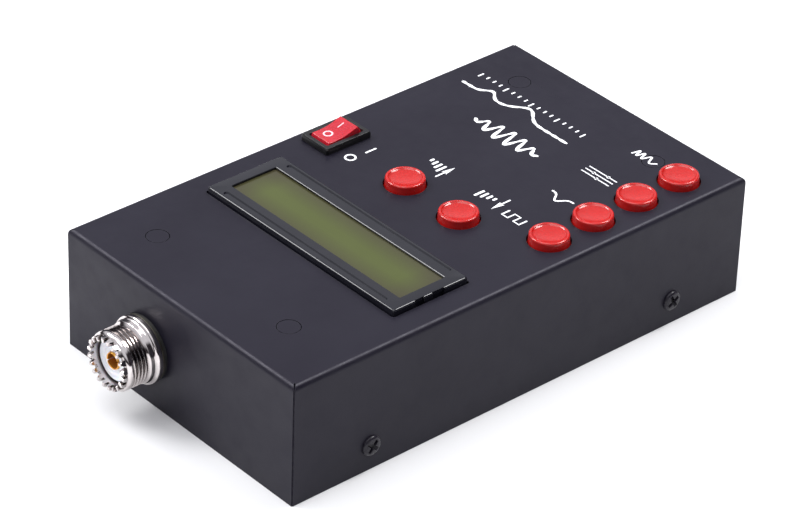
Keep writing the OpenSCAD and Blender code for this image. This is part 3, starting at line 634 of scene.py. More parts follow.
SHEET = 1.2
BEND_R = 1.6
CORNER_GAP = 0.3
BEND_STEPS = 8
EDGE_ROUND = 0.1
CAP_HOLE_R = 5.7
STUD_HOLE_R = 3.08
STUD_COLLAR_R = 3.6
LCD_GAP = 0.4
SWITCH_CUTOUT = (8.6, 13.4)
SCREW_HOLE_R = 1.7
SOCKET_HOLE_R = 6.5
POWER_HOLE_R = 4.1
DATA_HOLE = (8.5, 4.7)
CUTOUT_CORNER = 0.8
FLANGE_SPAN = 124
CLINCH_HOLE_R = 2.23


def bend_and_wall(bm, inner, stop, depth, holes, place):
    """A bend along one edge of a panel and the wall below it, mitred at the corners with a narrow seam.

    inner is half the length of the panel's flat edge and stop is where the sheet ends if that comes first.
    place maps (along, out from the panel's flat edge, height) to a point.
    """
    def reach(out):
        return min(stop, inner + max(out - CORNER_GAP, 0))

    rows = []
    for out, height in arc((0, -BEND_R), BEND_R, 90, 0, BEND_STEPS):
        rows.append([bm.verts.new(place(along, out, height)) for along in (-reach(out), reach(out))])
    join_loops(bm, rows, around=False)
    end = reach(BEND_R)
    wall = [(-end, -BEND_R), (end, -BEND_R), (end, -depth), (-end, -depth)]
    fill(bm, wall, holes, lambda along, height: place(along, BEND_R, height))


def case_sheet(bm, half_w, half_l, depth, panel_holes, wall_holes, side_span):
    """The outer face of a folded sheet: a panel at z 0 and walls down to -depth.

    wall_holes maps a wall's name to its holes, given in the wall's own (along, height) frame. A sheet
    with no holes named for its ends has no end walls. side_span is half the length of the side walls.
    """
    x0, y0 = half_w - BEND_R, half_l - BEND_R
    span = min(side_span, y0)
    stops = [-y0, -span, span, y0] if span < y0 else [-y0, y0]
    outline = [(x0, y) for y in stops] + [(-x0, y) for y in reversed(stops)]
    fill(bm, outline, panel_holes, lambda x, y: Vector((x, y, 0)))
    for side in (-1, 1):
        bend_and_wall(bm, y0, side_span, depth, wall_holes["side"],
                      lambda along, out, z: Vector((side * (x0 + out), along, z)))
    for side, name in ((-1, "power_end"), (1, "antenna_end")):
        if name in wall_holes:
            bend_and_wall(bm, x0, half_w, depth, wall_holes[name],
                          lambda along, out, z: Vector((along, side * (y0 + out), z)))


def stud_spots():
    """The middles of the four panel studs, from the box around them."""
    lowest, highest = low("panel_standoffs"), high("panel_standoffs")
    return [(x, y) for x in (lowest.x + STUD_COLLAR_R, highest.x - STUD_COLLAR_R)
            for y in (lowest.y + STUD_COLLAR_R, highest.y - STUD_COLLAR_R)]


def panel_holes():
    holes = [circle(middle(f"{key}_button").xy, CAP_HOLE_R) for key in KEYS]
    holes += [circle(spot, STUD_HOLE_R) for spot in stud_spots()]
    display = size("lcd_frame")
    holes.append(rounded_rectangle(middle("lcd_frame").xy, display.x + 2 * LCD_GAP, display.y + 2 * LCD_GAP,
                                   CUTOUT_CORNER))
    holes.append(rounded_rectangle(middle("rocker_housing").xy, *SWITCH_CUTOUT, CUTOUT_CORNER / 2))
    return holes


def folded_cover():
    """The top shell, with every hole that the photo shows or the sockets need."""
    bm = bmesh.new()
    data = middle("data_shell")
    wall_holes = {
        "side": [circle((s * SCREW_PITCH / 2, SCREW_Z - PANEL_Z), SCREW_HOLE_R, 32) for s in (-1, 1)],
        "antenna_end": [circle((SOCKET_X, SOCKET_Z - PANEL_Z), SOCKET_HOLE_R)],
        "power_end": [circle((POWER_X, POWER_Z - PANEL_Z), POWER_HOLE_R),
                      rounded_rectangle((data.x, data.z - PANEL_Z), *DATA_HOLE, CUTOUT_CORNER)],
    }
    case_sheet(bm, HALF_W, HALF_L, PANEL_Z, panel_holes(), wall_holes, HALF_L)
    bmesh.ops.translate(bm, vec=(0, 0, PANEL_Z), verts=bm.verts)
    add_piece("folded_cover", bm, "case_paint", ["top_cover"], bevel=EDGE_ROUND, thick=SHEET)


def folded_bottom():
    """The bottom plate: case_sheet turned over, with flanges up its long sides and plain ends."""
    plate = size("bottom_plate")
    bm = bmesh.new()
    holes = {"side": [circle((s * SCREW_PITCH / 2, -SCREW_Z), CLINCH_HOLE_R, 32) for s in (-1, 1)]}
    case_sheet(bm, plate.x / 2, plate.y / 2 + BEND_R, plate.z, [], holes, FLANGE_SPAN / 2)
    bmesh.ops.scale(bm, vec=(1, 1, -1), verts=bm.verts)
    add_piece("folded_bottom", bm, "case_paint", ["bottom_plate"], bevel=EDGE_ROUND, thick=SHEET)


SCREW_HEAD_T = 1.0
SCREW_SHANK_R = 1.45
SCREW_L = 6.0
# A pan head from its foot to its crown: (share of the radius, share of the height).
PAN_HEAD = ((1, 0), (1, 0.32), (0.97, 0.52), (0.9, 0.72), (0.76, 0.88), (0.55, 0.97), (0.3, 1), (0, 1))
RECESS_L = 4.1
RECESS_W = 1.1
RECESS_DEPTH = 1.1
# The recess's foot as shares of its mouth.
RECESS_FOOT = (0.55, 0.7)
SHANK_TIP = 0.4


def screw_turn(side, along):
    """How far each screw happens to be turned."""
    return math.radians(20 + 35 * along + 15 * side)


def side_screws():
    """Four cross-recessed screws, drawn along +Z and laid into the side walls."""
    bm = bmesh.new()
    recesses = [bmesh.new(), bmesh.new()]
    for side in (-1, 1):
        for along in (-1, 1):
            def place(x, y, z, side=side, along=along):
                return Vector((side * (HALF_W + z), along * SCREW_PITCH / 2 + x, SCREW_Z + y))
            shank = [(0, -SCREW_L), (SCREW_SHANK_R - SHANK_TIP, -SCREW_L),
                     (SCREW_SHANK_R, SHANK_TIP - SCREW_L), (SCREW_SHANK_R, 0)]
            head = [(SCREW_R * share, SCREW_HEAD_T * rise) for share, rise in PAN_HEAD]
            lathe(bm, shank + head, place, 48)
            for tool, extra in zip(recesses, (0, math.pi / 2)):
                turn = screw_turn(side, along) + extra
                slot = rectangle((0, 0), RECESS_L, RECESS_W)
                foot = [rotated((x * RECESS_FOOT[0], y * RECESS_FOOT[1]), turn) for x, y in slot]
                mouth = [rotated(point, turn) for point in slot]
                loft(tool, [(foot, SCREW_HEAD_T - RECESS_DEPTH), (mouth, SCREW_HEAD_T + 0.1)], place)
    add_piece("side_screws", carve(bm, recesses), "black_screw", ["case_screws"], bevel=0.05)


# ---- Display ----

LCD_SHEET = 0.5
LCD_BEND = 0.5
LCD_CORNER = 0.6
LCD_WINDOW_Y = middle("lcd_frame").y - 0.2
WINDOW_CORNER = 0.3
WINDOW_LIP = 0.12
CHANNEL_Y = 10.25
CHANNEL_W = 1.6
CHANNEL_SLOPE = 0.3
CHANNEL_DEPTH = 0.35
CHANNEL_L = 62.0
# Where the slots beside the end tabs start and stop, along Y.
TAB_SLOTS = ((20.8, 24.7), (27.3, 30.3))
TAB_SLOT_TOP = 36.3
TAB_SLOT_FOOT = 33.0
TAB_SLOT_DEPTH = 0.4


def frame_ring(inset, corner, z):
    outer = size("lcd_frame")
    return (rounded_rectangle(middle("lcd_frame").xy, outer.x - 2 * inset, outer.y - 2 * inset, corner), z)


def window_ring(grow, z):
    return (rounded_rectangle((middle("lcd_frame").x, LCD_WINDOW_Y), LCD_WINDOW[0] + 2 * grow,
                              LCD_WINDOW[1] + 2 * grow, WINDOW_CORNER), z)


def display_frame():
    """The pressed metal frame: a bent rim, a channel along each long side and slots beside the end tabs."""
    top, foot = high("lcd_frame").z, low("lcd_frame").z
    rings = [window_ring(0, top - LCD_SHEET), window_ring(0, top - WINDOW_LIP), window_ring(WINDOW_LIP, top)]
    for u, v in arc((LCD_BEND, -LCD_BEND), LCD_BEND, 90, 180, 5):
        rings.append(frame_ring(u, LCD_CORNER + 0.3 * (1 + v / LCD_BEND), top + v))
    rings.append(frame_ring(0, LCD_CORNER, foot))
    rings.append(frame_ring(LCD_SHEET, LCD_CORNER / 2, foot))
    rings.append(frame_ring(LCD_SHEET, LCD_CORNER / 2, top - LCD_BEND))
    rings.append(frame_ring(LCD_BEND, LCD_CORNER / 2, top - LCD_SHEET))
    bm = bmesh.new()
    loops = [[bm.verts.new((x, y, z)) for x, y in points] for points, z in rings]
    join_loops(bm, loops, closed=True)
    tool = bmesh.new()
    centre = middle("lcd_frame")
    foot_w = CHANNEL_W - 2 * CHANNEL_SLOPE
    for side in (-1, 1):
        place = (centre.x, centre.y + side * CHANNEL_Y)
        wide = rounded_rectangle(place, CHANNEL_L, CHANNEL_W, CHANNEL_W / 2 - 0.01)
        narrow = rounded_rectangle(place, CHANNEL_L - 2 * CHANNEL_SLOPE, foot_w, foot_w / 2 - 0.01)
        loft(tool, [(narrow, top - CHANNEL_DEPTH), (wide, top), (wide, top + 1)])
        for near, far in TAB_SLOTS:
            block(tool, (side * high("lcd_frame").x, (near + far) / 2, TAB_SLOT_FOOT),
                  2 * TAB_SLOT_DEPTH, far - near, TAB_SLOT_TOP - TAB_SLOT_FOOT)
    add_piece("display_frame", carve(bm, [tool]), "lcd_paint", ["lcd_frame"])


POLARISER_T = 0.18
GLASS_CHAMFER = 0.12
GLASS_STEP = 0.9
GLASS_CORNER = 0.2


def display_glass():
    """The cell: two glass plates with ground edges, the front one a little narrower, under a polariser."""
    foot, top = low("lcd_glass").z, high("lcd_glass").z
    face, split = top - POLARISER_T, (foot + top) / 2
    film = 4 * GLASS_CHAMFER
    # Each ring is (step of the ledge, inset, height).
    levels = ((0, GLASS_CHAMFER, foot), (0, 0, foot + GLASS_CHAMFER), (0, 0, split), (GLASS_STEP, 0, split),
              (GLASS_STEP, 0, face - GLASS_CHAMFER), (GLASS_STEP, GLASS_CHAMFER, face),
              (GLASS_STEP, film, face), (GLASS_STEP, film, top))
    plate = size("lcd_glass")
    rings = [(rounded_rectangle(middle("lcd_glass").xy, plate.x - 2 * inset, plate.y - 2 * (step + inset),
                                GLASS_CORNER), z) for step, inset, z in levels]
    bm = loft(bmesh.new(), rings)
    add_piece("display_cell", bm, "lcd_cell", ["lcd_glass"], bevel=0.03)


# ---- Push buttons ----

CAP_R = 5.2
CAP_ROUND = 0.5
CAP_FLANGE_R = 6.3
CAP_FLANGE_T = 0.8
CAP_FLANGE_GAP = 0.3
BOWL_R = 4.2
BOWL_RIM = 0.3
BOWL_DEPTH = 0.9
BOWL_STEPS = 8
LIP = ((4.34, 0.16), (4.46, 0.05), (4.58, 0.01))
STEM_SOCKET_R = 2.75
STEM_SOCKET_DEPTH = 3.0


def cap_profile(top, foot):
    """Half of a cap's section: dished top, rounded rim, a flange under the panel and a hollow skirt."""
    collar = PANEL_Z - SHEET - CAP_FLANGE_GAP
    bowl = [(BOWL_R * i / BOWL_STEPS, top - BOWL_DEPTH + (BOWL_DEPTH - BOWL_RIM) * (i / BOWL_STEPS) ** 2)
            for i in range(BOWL_STEPS + 1)]
    bowl += [(radius, top - drop) for radius, drop in LIP]
    rim = arc((CAP_R - CAP_ROUND, top - CAP_ROUND), CAP_ROUND, 94, 4, 8)
    skirt = filleted([
        rim[-1], (CAP_R + 0.15, collar, 0.15), (CAP_FLANGE_R, collar, 0.15),
        (CAP_FLANGE_R, collar - CAP_FLANGE_T, 0.15), (CAP_R, collar - CAP_FLANGE_T, 0.1), (CAP_R, foot, 0.1),
        (STEM_SOCKET_R, foot, 0.1), (STEM_SOCKET_R, foot + STEM_SOCKET_DEPTH), (0, foot + STEM_SOCKET_DEPTH)])
    return bowl + rim + skirt[1:]


def push_buttons():
    for key in KEYS:
        spot = middle(f"{key}_button")
        bm = bmesh.new()
        profile = cap_profile(high(f"{key}_button").z, low(f"{key}_button").z)
        lathe(bm, profile, lambda x, y, z: Vector((spot.x + x, spot.y + y, z)))
        add_piece(f"{key}_cap", bm, "red_plastic", [f"{key}_button"], f"{key}_key")


# ---- Rocker switch ----

PIVOT = Vector((middle("rocker_housing").x, middle("rocker_housing").y, PANEL_Z - 0.45))
SWITCH_BODY = (8.4, 13.2)
SWITCH_FLANGE = (10.5, 15.0)
SWITCH_CAVITY = (7.2, 12.1)
SWITCH_CORNER = 0.6
SWITCH_EASE = 0.3
FLANGE_T = 1.5
FLANGE_LIP = 0.2
CAVITY_RIM = 0.25
HOUSING_FLOOR = 1.0
ROCKER_SWING = 9
ROCKER_W = 6.84
ROCKER_TIP = (4.75, 3.35)
ROCKER_DISH = 2.75
ROCKER_SOLE = -1.2
TRUNNION_R = 0.9
TRUNNION_REACH = 3.95
TRUNNION_EDGE = 0.15
POST_R = 1.5
POST_BORE_R = 0.85
POST_END = -4.4
# How far the trunnions and the post run into the key.
ROOT_DEPTH = (0.3, 0.5)
RING_AT = (0.5, 1.95)
RING_R = 1.12
BAR_AT = (0.75, -2.55)
RING_W = 0.46
BAR_L = 1.9
BAR_W = 0.34
MARK_T = 0.02


def switch_housing():
    """A snap-in body with a chamfered flange, a sunk rim and a deep cavity for the rocker."""
    foot, top = low("rocker_housing").z, high("rocker_housing").z
    rim = PANEL_Z + FLANGE_T
    body, flange, cavity = Vector(SWITCH_BODY), Vector(SWITCH_FLANGE), Vector(SWITCH_CAVITY)
    ease, lip = Vector((SWITCH_EASE, SWITCH_EASE)), Vector((FLANGE_LIP, FLANGE_LIP))
    levels = ((body - ease, foot), (body, foot + SWITCH_EASE), (body, PANEL_Z), (flange - lip, PANEL_Z),
              (flange, PANEL_Z + 0.15), (flange, rim - 0.1), (flange - ease, rim + 0.15),
              (flange - 2 * ease, top), (cavity + 2 * lip, top), (cavity + lip, top - CAVITY_RIM),
              (cavity, top - 2 * CAVITY_RIM), (cavity, foot + HOUSING_FLOOR))
    rings = []
    for (width, depth), z in levels:
        corner = SWITCH_CORNER if z >= PANEL_Z else SWITCH_CORNER / 2
        rings.append((rounded_rectangle(PIVOT.xy, width, depth, corner), z))
    bm = loft(bmesh.new(), rings)
    add_piece("switch_housing", bm, "black_plastic", ["rocker_housing"], bevel=0.06)


def on_rocker(x, y, z):
    """Places a point of the rocker's own frame at its rest tilt."""
    return PIVOT + Matrix.Rotation(-math.radians(ROCKER_SWING), 3, "X") @ Vector((x, y, z))


def rocker_top(y):
    """Height of the rocker's dished top over its pivot."""
    share = min(1.0, abs(y) / ROCKER_TIP[0])
    return ROCKER_DISH + (ROCKER_TIP[1] - ROCKER_DISH) * share ** 1.6


def rocker_key():
    """A rocker with a dished top and swept ends, its two trunnions and its hollow post."""
    sweep = math.hypot(*ROCKER_TIP)
    tip = math.degrees(math.atan2(ROCKER_TIP[1], ROCKER_TIP[0]))
    sole = math.degrees(math.asin(ROCKER_SOLE / sweep))
    outline = arc((0, 0), sweep, sole, tip, 10)
    top_y = [ROCKER_TIP[0] * i / 8 for i in range(7, -8, -1)]
    outline += [(y, rocker_top(y)) for y in top_y]
    outline += arc((0, 0), sweep, 180 - tip, 180 - sole, 10)
    sides = [(outline, -ROCKER_W / 2), (outline, ROCKER_W / 2)]
    bm = loft(bmesh.new(), sides, lambda y, z, x: on_rocker(x, y, z))
    root = ROCKER_W / 2 - ROOT_DEPTH[0]
    trunnion = [(0, root), (TRUNNION_R, root), (TRUNNION_R, TRUNNION_REACH - TRUNNION_EDGE),
                (TRUNNION_R - TRUNNION_EDGE, TRUNNION_REACH), (0, TRUNNION_REACH)]
    for side in (-1, 1):
        lathe(bm, trunnion, lambda y, z, out: on_rocker(side * out, y, z), 32)
    root = ROCKER_SOLE + ROOT_DEPTH[1]
    post = [(POST_R, root), (POST_R, POST_END), (POST_BORE_R, POST_END), (POST_BORE_R, root)]
    lathe(bm, post, on_rocker, 32, closed=True)
    add_piece("rocker_key", bm, "rocker_red", ["power_rocker"], "rocker", bevel=0.22, sharp=28)


def rocker_marks():
    """The ring and the bar, printed on the rocker's top."""
    def place(x, y, z):
        return on_rocker(x, y, rocker_top(y) + z)
    bm = bmesh.new()
    ribbon(bm, circle(RING_AT, RING_R, 40), lambda share: RING_W, MARK_T, place, closed=True)
    bar = [(BAR_AT[0], BAR_AT[1] + BAR_L * (i / 8 - 0.5)) for i in range(9)]
    ribbon(bm, bar, lambda share: BAR_W, MARK_T, place)
    add_piece("rocker_marks", bm, "mark_ink", body="rocker")


# ---- Antenna socket ----

SOCKET_COLUMNS = 320
TEETH = 20
THREAD_PITCH = 25.4 / 24
CREST_R = 7.94
ROOT_R = 7.33
THREAD_START = 5.2
THREAD_END = 9.6
LEAD_END = 10.3
# One turn of the thread's section: (share of the pitch, share of the depth).
THREAD_SECTION = ((0.0, 0.85), (0.05, 1), (0.13, 1), (0.18, 0.85), (0.42, 0.12), (0.49, 0), (0.66, 0),
                  (0.73, 0.12))
RUN_OUT = 1.3
TOOTH_R = 7.3
TOOTH_BORE_R = 5.95
TOOTH_ROOT = 11.15
TOOTH_TIP = 12.5
TOOTH_ROUND = 0.22
BUSH_R = 6.35
BUSH_BORE_R = 4.5
BUSH_END = -12.0
BUSH_EDGE = 0.4
SOCKET_FLOOR = 2.0
FLANGE_R = 9.1
SOCKET_FLANGE_T = 1.35


def thread_point(row, share):
    """Radius and distance out of one thread row at a share of a turn; rows climb one pitch a turn."""
    turns = row // len(THREAD_SECTION) - 1
    step, rise = THREAD_SECTION[row % len(THREAD_SECTION)]
    out = THREAD_START + THREAD_PITCH * (turns + step + share)
    if out <= THREAD_START:
        return ROOT_R, THREAD_START
    if out >= THREAD_END:
        return CREST_R, THREAD_END
    radius = ROOT_R + (CREST_R - ROOT_R) * rise
    radius = min(radius, ROOT_R + (out - THREAD_START) * RUN_OUT)
    return max(radius, CREST_R - (THREAD_END - out) * RUN_OUT), out


def add_thread(bm):
    """The helical rows, joined a turn further on where they meet themselves."""
    turn_rows = len(THREAD_SECTION)
    rows = turn_rows * (math.ceil((THREAD_END - THREAD_START) / THREAD_PITCH) + 1) + 1
    grid = []
    for row in range(rows):
        line = []
        for i in range(SOCKET_COLUMNS):
            radius, out = thread_point(row, i / SOCKET_COLUMNS)
            angle = TURN * i / SOCKET_COLUMNS
            line.append(bm.verts.new(along_socket(radius * math.cos(angle), radius * math.sin(angle), out)))
        grid.append(line)
    for row in range(rows - 1):
        for i in range(SOCKET_COLUMNS):
            last = i == SOCKET_COLUMNS - 1
            if last and row + 1 + turn_rows >= rows:
                continue
            first_next = grid[row + turn_rows][0] if last else grid[row][i + 1]
            second_next = grid[row + 1 + turn_rows][0] if last else grid[row + 1][i + 1]
            bm.faces.new((grid[row][i], first_next, second_next, grid[row + 1][i]))


def tooth_top(share):
    """How far out the castellated front ring reaches at a share of a turn."""
    from_middle = abs((share * TEETH) % 1 - 0.5) * 2
    if from_middle > 0.5:
        return TOOTH_ROOT + 0.1
    return TOOTH_TIP - (TOOTH_ROUND if from_middle > 0.3 else 0)


def tooth_point(radius, drop=0.0):
    """A profile point that follows the teeth, a little below their tips."""
    return lambda share: (radius, max(TOOTH_ROOT, tooth_top(share) - drop))


def socket_shell():
    """Threaded body with a rounded flange and a ring of teeth at the front."""
    back = high("antenna_washer").y - HALF_L + 0.05
    front = back + SOCKET_FLANGE_T
    neck = filleted([
        (BUSH_R, back), (FLANGE_R, back, 0.25), (FLANGE_R, front, 0.5), (CREST_R + 0.45, front + 0.4, 0.8),
        (CREST_R + 0.25, THREAD_START - 0.7, 0.3), (ROOT_R, THREAD_START)])
    mouth = [
        (CREST_R, THREAD_END), (CREST_R, LEAD_END), (CREST_R - 0.25, LEAD_END + 0.45),
        (TOOTH_R, LEAD_END + 0.75), (TOOTH_R, TOOTH_ROOT),
        tooth_point(TOOTH_R, TOOTH_ROUND), tooth_point(TOOTH_R - TOOTH_ROUND),
        tooth_point(TOOTH_BORE_R + TOOTH_ROUND / 2), tooth_point(TOOTH_BORE_R, TOOTH_ROUND / 2),
        (TOOTH_BORE_R, TOOTH_ROOT), (TOOTH_BORE_R, SOCKET_FLOOR), (BUSH_BORE_R, SOCKET_FLOOR),
        (BUSH_BORE_R, BUSH_END), (BUSH_R - BUSH_EDGE, BUSH_END), (BUSH_R, BUSH_END + BUSH_EDGE),
        (BUSH_R, back)]
    bm = lathe(bmesh.new(), neck, along_socket, SOCKET_COLUMNS)
    add_thread(bm)
    lathe(bm, mouth, along_socket, SOCKET_COLUMNS)
    add_piece("socket_shell", bm, "nickel", ["antenna_shell"], sharp=32)


CONTACT_R = 2.35
CONTACT_BORE_R = 2.0
CONTACT_DEPTH = 8.0
CONTACT_EDGE = 0.15
STUB_R = 1.25
STUB_CUP = (0.8, 2.5)
SLIT_W = 0.35
SLIT_L = 6.0
SLIT_TURN = 20
FIT = 0.05
BOSS_W = 1.1
BOSS_DROP = 0.3


def socket_insulator():
    """White insulation that fills the shell, with a low boss about the contact."""
    stub, bush, front, bore = STUB_R + FIT, BUSH_BORE_R - FIT, TOOTH_BORE_R - FIT, CONTACT_R + FIT
    floor, face = SOCKET_FLOOR + FIT, high("antenna_insulator").y - HALF_L
    boss = bore + BOSS_W
    profile = filleted([
        (stub, BUSH_END), (bush, BUSH_END), (bush, floor), (front, floor), (front, face - 0.6, 0.3),
        (front - 0.6, face, 0.2), (boss + BOSS_DROP, face, 0.2), (boss, face - BOSS_DROP, 0.1),
        (bore, face - BOSS_DROP), (bore, 0), (stub, 0)])
    bm = lathe(bmesh.new(), profile, along_socket, 96, closed=True)
    add_piece("socket_insulator", bm, "ptfe", ["antenna_insulator"])


def socket_contact():
    """The sprung centre contact: a turned gilt tube split four ways, with its solder cup behind."""
    front, end = high("antenna_contact").y - HALF_L, low("antenna_contact").y - HALF_L
    cup_r, cup_floor = STUB_CUP[0], end + STUB_CUP[1]
    profile = [(0, cup_floor), (cup_r, cup_floor), (cup_r, end), (STUB_R - 0.2, end), (STUB_R, end + 0.2),
               (STUB_R, FIT), (CONTACT_R, FIT), (CONTACT_R, front - 0.3), (CONTACT_R - CONTACT_EDGE, front),
               (CONTACT_BORE_R + CONTACT_EDGE, front), (CONTACT_BORE_R, front - CONTACT_EDGE),
               (CONTACT_BORE_R, front - CONTACT_DEPTH), (0, front - CONTACT_DEPTH - 0.6)]
    bm = lathe(bmesh.new(), profile, along_socket, 64)
    slits = []
    for angle in (0, 90):
        turn = math.radians(angle + SLIT_TURN)
        outline = [rotated(point, turn) for point in rectangle((0, 0), 2 * CONTACT_R + 2, SLIT_W)]
        tool = loft(bmesh.new(), [(outline, front - SLIT_L), (outline, front + 1)], along_socket)
        slits.append(tool)
    add_piece("socket_contact", carve(bm, slits), "gilt", ["antenna_contact"], bevel=0.03)


def socket_rings():
    """The dull washer, its dark olive colour painted shade on plating, and the black gasket behind the
    flange.
    """
    for name, node, look, ease in (("socket_washer", "antenna_washer", "dark_washer", 0.12),
                                   ("socket_gasket", "antenna_gasket", "gasket_rubber", 0.2)):
        inner, outer = BUSH_R + 0.1, size(node).x / 2
        back, front = low(node).y - HALF_L, high(node).y - HALF_L
        profile = filleted([(inner, back), (outer, back, ease), (outer, front, ease), (inner, front)])
        bm = lathe(bmesh.new(), profile, along_socket, 128, closed=True)
        add_piece(name, bm, look, [node])


# ---- Power and data sockets ----

NOSE_R = 3.9
NOSE_BORE_R = 2.9
NOSE_BORE_DEPTH = 10.0
NOSE_L = 1.6
NOSE_EDGE = 0.25
BORE_LEAD = (0.35, 0.4)
JACK_CORNER = 0.5
PIN_COLLAR = 1.2
PIN_NECK = 0.9


def power_jack():
    """A moulded block with a round nose and its bore."""
    lowest, highest = low("power_socket"), high("power_socket")

    def inward(x, y, depth):
        return Vector((POWER_X + x, lowest.y + depth, POWER_Z + y))
    outline = rounded_rectangle((0, (lowest.z + highest.z) / 2 - POWER_Z), highest.x - lowest.x,
                                highest.z - lowest.z, JACK_CORNER)
    body = loft(bmesh.new(), [(outline, NOSE_L), (outline, highest.y - lowest.y)], inward)
    bore = [(0, 0), (NOSE_BORE_R, 0), (NOSE_BORE_R, NOSE_BORE_DEPTH), (0, NOSE_BORE_DEPTH)]
    bm = carve(body, [lathe(bmesh.new(), bore, inward, 64)])
    nose = [(NOSE_BORE_R + BORE_LEAD[0], 0), (NOSE_R - NOSE_EDGE, 0), (NOSE_R, NOSE_EDGE), (NOSE_R, NOSE_L),
            (NOSE_BORE_R, NOSE_L), (NOSE_BORE_R, BORE_LEAD[1])]
    lathe(bm, nose, inward, 64, closed=True)
    add_piece("power_jack", bm, "black_plastic", ["power_socket"], bevel=0.08)


def power_jack_pin():
    """The centre pin: a domed tip and a slightly slimmer root."""
    pin, radius = middle("power_pin"), size("power_pin").x / 2
    tip, root = low("power_pin").y, high("power_pin").y
    neck = radius * PIN_NECK
    profile = arc((0, tip + radius), radius, -90, 0, 6)
    profile += [(radius, root - PIN_COLLAR), (neck, root - PIN_COLLAR + 0.1), (neck, root), (0, root)]
    bm = lathe(bmesh.new(), profile, lambda x, y, along: Vector((pin.x + x, along, pin.z + y)), 32)
    add_piece("power_jack_pin", bm, "nickel", ["power_pin"])


DATA_WALL = 0.4
DATA_SHOULDER = 1.1
DATA_TAPER = 0.9
DATA_BACK = (0.9, 0.3)
POLES = 5
POLE_PITCH = 0.8
POLE_W = 0.35
POLE_T = 0.08
TONGUE_EDGE = 0.3


def data_outline(inset):
    """The five-pole shell's mouth: square above, drawn in below."""
    half_w, half_h = size("data_shell").x / 2 - inset, size("data_shell").z / 2 - inset
    side = [(half_w, half_h, 0.35), (half_w, half_h - DATA_SHOULDER, 0.2),
            (half_w - DATA_TAPER, -half_h, 0.5)]
    other = [(-x, y, radius) for x, y, radius in reversed(side)]
    return filleted([(0, half_h)] + side + other + [(0, half_h)])[:-1]


def data_port():
    """The folded shell, closed by a plate near its back."""
    spot = middle("data_shell")
    front, back = low("data_shell").y, high("data_shell").y

    def place(x, z, along):
        return Vector((spot.x + x, along, spot.z + z))
    outer, inner, plate = data_outline(0), data_outline(DATA_WALL), data_outline(DATA_WALL / 2)
    shell = [(outer, front), (outer, back), (inner, back), (inner, front), (outer, front)]
    bm = loft(bmesh.new(), shell, place, capped=False)
    loft(bm, [(plate, back - DATA_BACK[0]), (plate, back - DATA_BACK[1])], place)
    add_piece("data_port", bm, "bright_steel", ["data_shell"], bevel=0.05)


def data_port_tongue():
    """The tongue in the mouth, with the contacts under it."""
    tongue, extent = middle("data_tongue"), size("data_tongue")
    half_l = extent.y / 2
    slab = rounded_rectangle((0, 0), extent.x, extent.z, 0.2, 3)
    tip = rounded_rectangle((0, 0), extent.x - TONGUE_EDGE, extent.z - TONGUE_EDGE, 0.1, 3)
    bm = loft(bmesh.new(), [(tip, -half_l), (slab, 0.2 - half_l), (slab, half_l)],
              lambda x, z, along: Vector((tongue.x + x, tongue.y + along, tongue.z + z)))
    add_piece("data_port_tongue", bm, "black_plastic", ["data_tongue"])
    bm = bmesh.new()
    for i in range(POLES):
        foot = (tongue.x + POLE_PITCH * (i - POLES // 2), tongue.y, tongue.z - extent.z / 2 - 0.03)
        block(bm, foot, POLE_W, extent.y - POLE_PITCH, POLE_T)
    add_piece("data_port_contacts", bm, "gilt", bevel=0.02)


# ---- Symbols printed on the panel, in place of the real one's words ----

INK_T = 0.025
LINE_W = 0.55
END_TURNS = [math.radians(angle) for angle in (85, 60, 35, 15)]


def ribbon(bm, points, width, thick, place, closed=False):
    """A flat stroke along points; width is a function of the share of its length."""
    count = len(points)
    if not closed:
        points, count, width = rounded_stroke(points, width)
    loops = []
    for i, point in enumerate(points):
        here = Vector(point)
        behind = Vector(points[i - 1]) if closed or i else here
        ahead = Vector(points[(i + 1) % count]) if closed or i < count - 1 else here
        side = (ahead - behind).normalized().orthogonal() * width(i / max(1, count - 1)) / 2
        left, right = here + side, here - side
        loops.append([bm.verts.new(place(spot.x, spot.y, z)) for spot, z in
                      ((left, -thick / 2), (left, thick), (right, thick), (right, -thick / 2))])
    join_loops(bm, loops, closed)
    if not closed:
        bm.faces.new(reversed(loops[0]))
        bm.faces.new(loops[-1])


def rounded_stroke(points, width):
    """Adds tapering points to both ends of a stroke, so that it ends round."""
    widths = [width(i / (len(points) - 1)) for i in range(len(points))]
    for _ in range(2):
        last, before = Vector(points[-1]), Vector(points[-2])
        on, end_w = (last - before).normalized() * widths[-1] / 2, widths[-1]
        points = [last + on * math.sin(turn) for turn in END_TURNS] + list(reversed(points))
        widths = [end_w * math.cos(turn) for turn in END_TURNS] + list(reversed(widths))
    return points, len(points), lambda share: widths[round(share * (len(widths) - 1))]


def on_panel(x, y, z):
    return Vector((x, y, PANEL_Z + z))


def stroke(bm, points, width=LINE_W):
    ribbon(bm, points, lambda share: width, INK_T, on_panel)


def line(bm, x0, y0, x1, y1, width=LINE_W):
    stroke(bm, [(x0, y0), ((x0 + x1) / 2, (y0 + y1) / 2), (x1, y1)], width)


def ring(bm, centre, radius, width, count):
    ribbon(bm, circle(centre, radius, count), lambda share: width, INK_T, on_panel, closed=True)


def brush(bm, points, thin, wide):
    """A stroke that swells and thins along its length, as a broad pen leaves it."""
    swells = len(points) * 0.35
    ribbon(bm, points, lambda share: thin + (wide - thin) * abs(math.sin(share * swells)), INK_T, on_panel)


def curve(x0, x1, height, steps=60):
    """Points along X from x0 to x1, at the height function of the share of the way."""
    return [(x0 + (x1 - x0) * i / steps, height(i / steps)) for i in range(steps + 1)]


def bump(share, middle_share, spread):
    return math.exp(-((share - middle_share) / spread) ** 2)


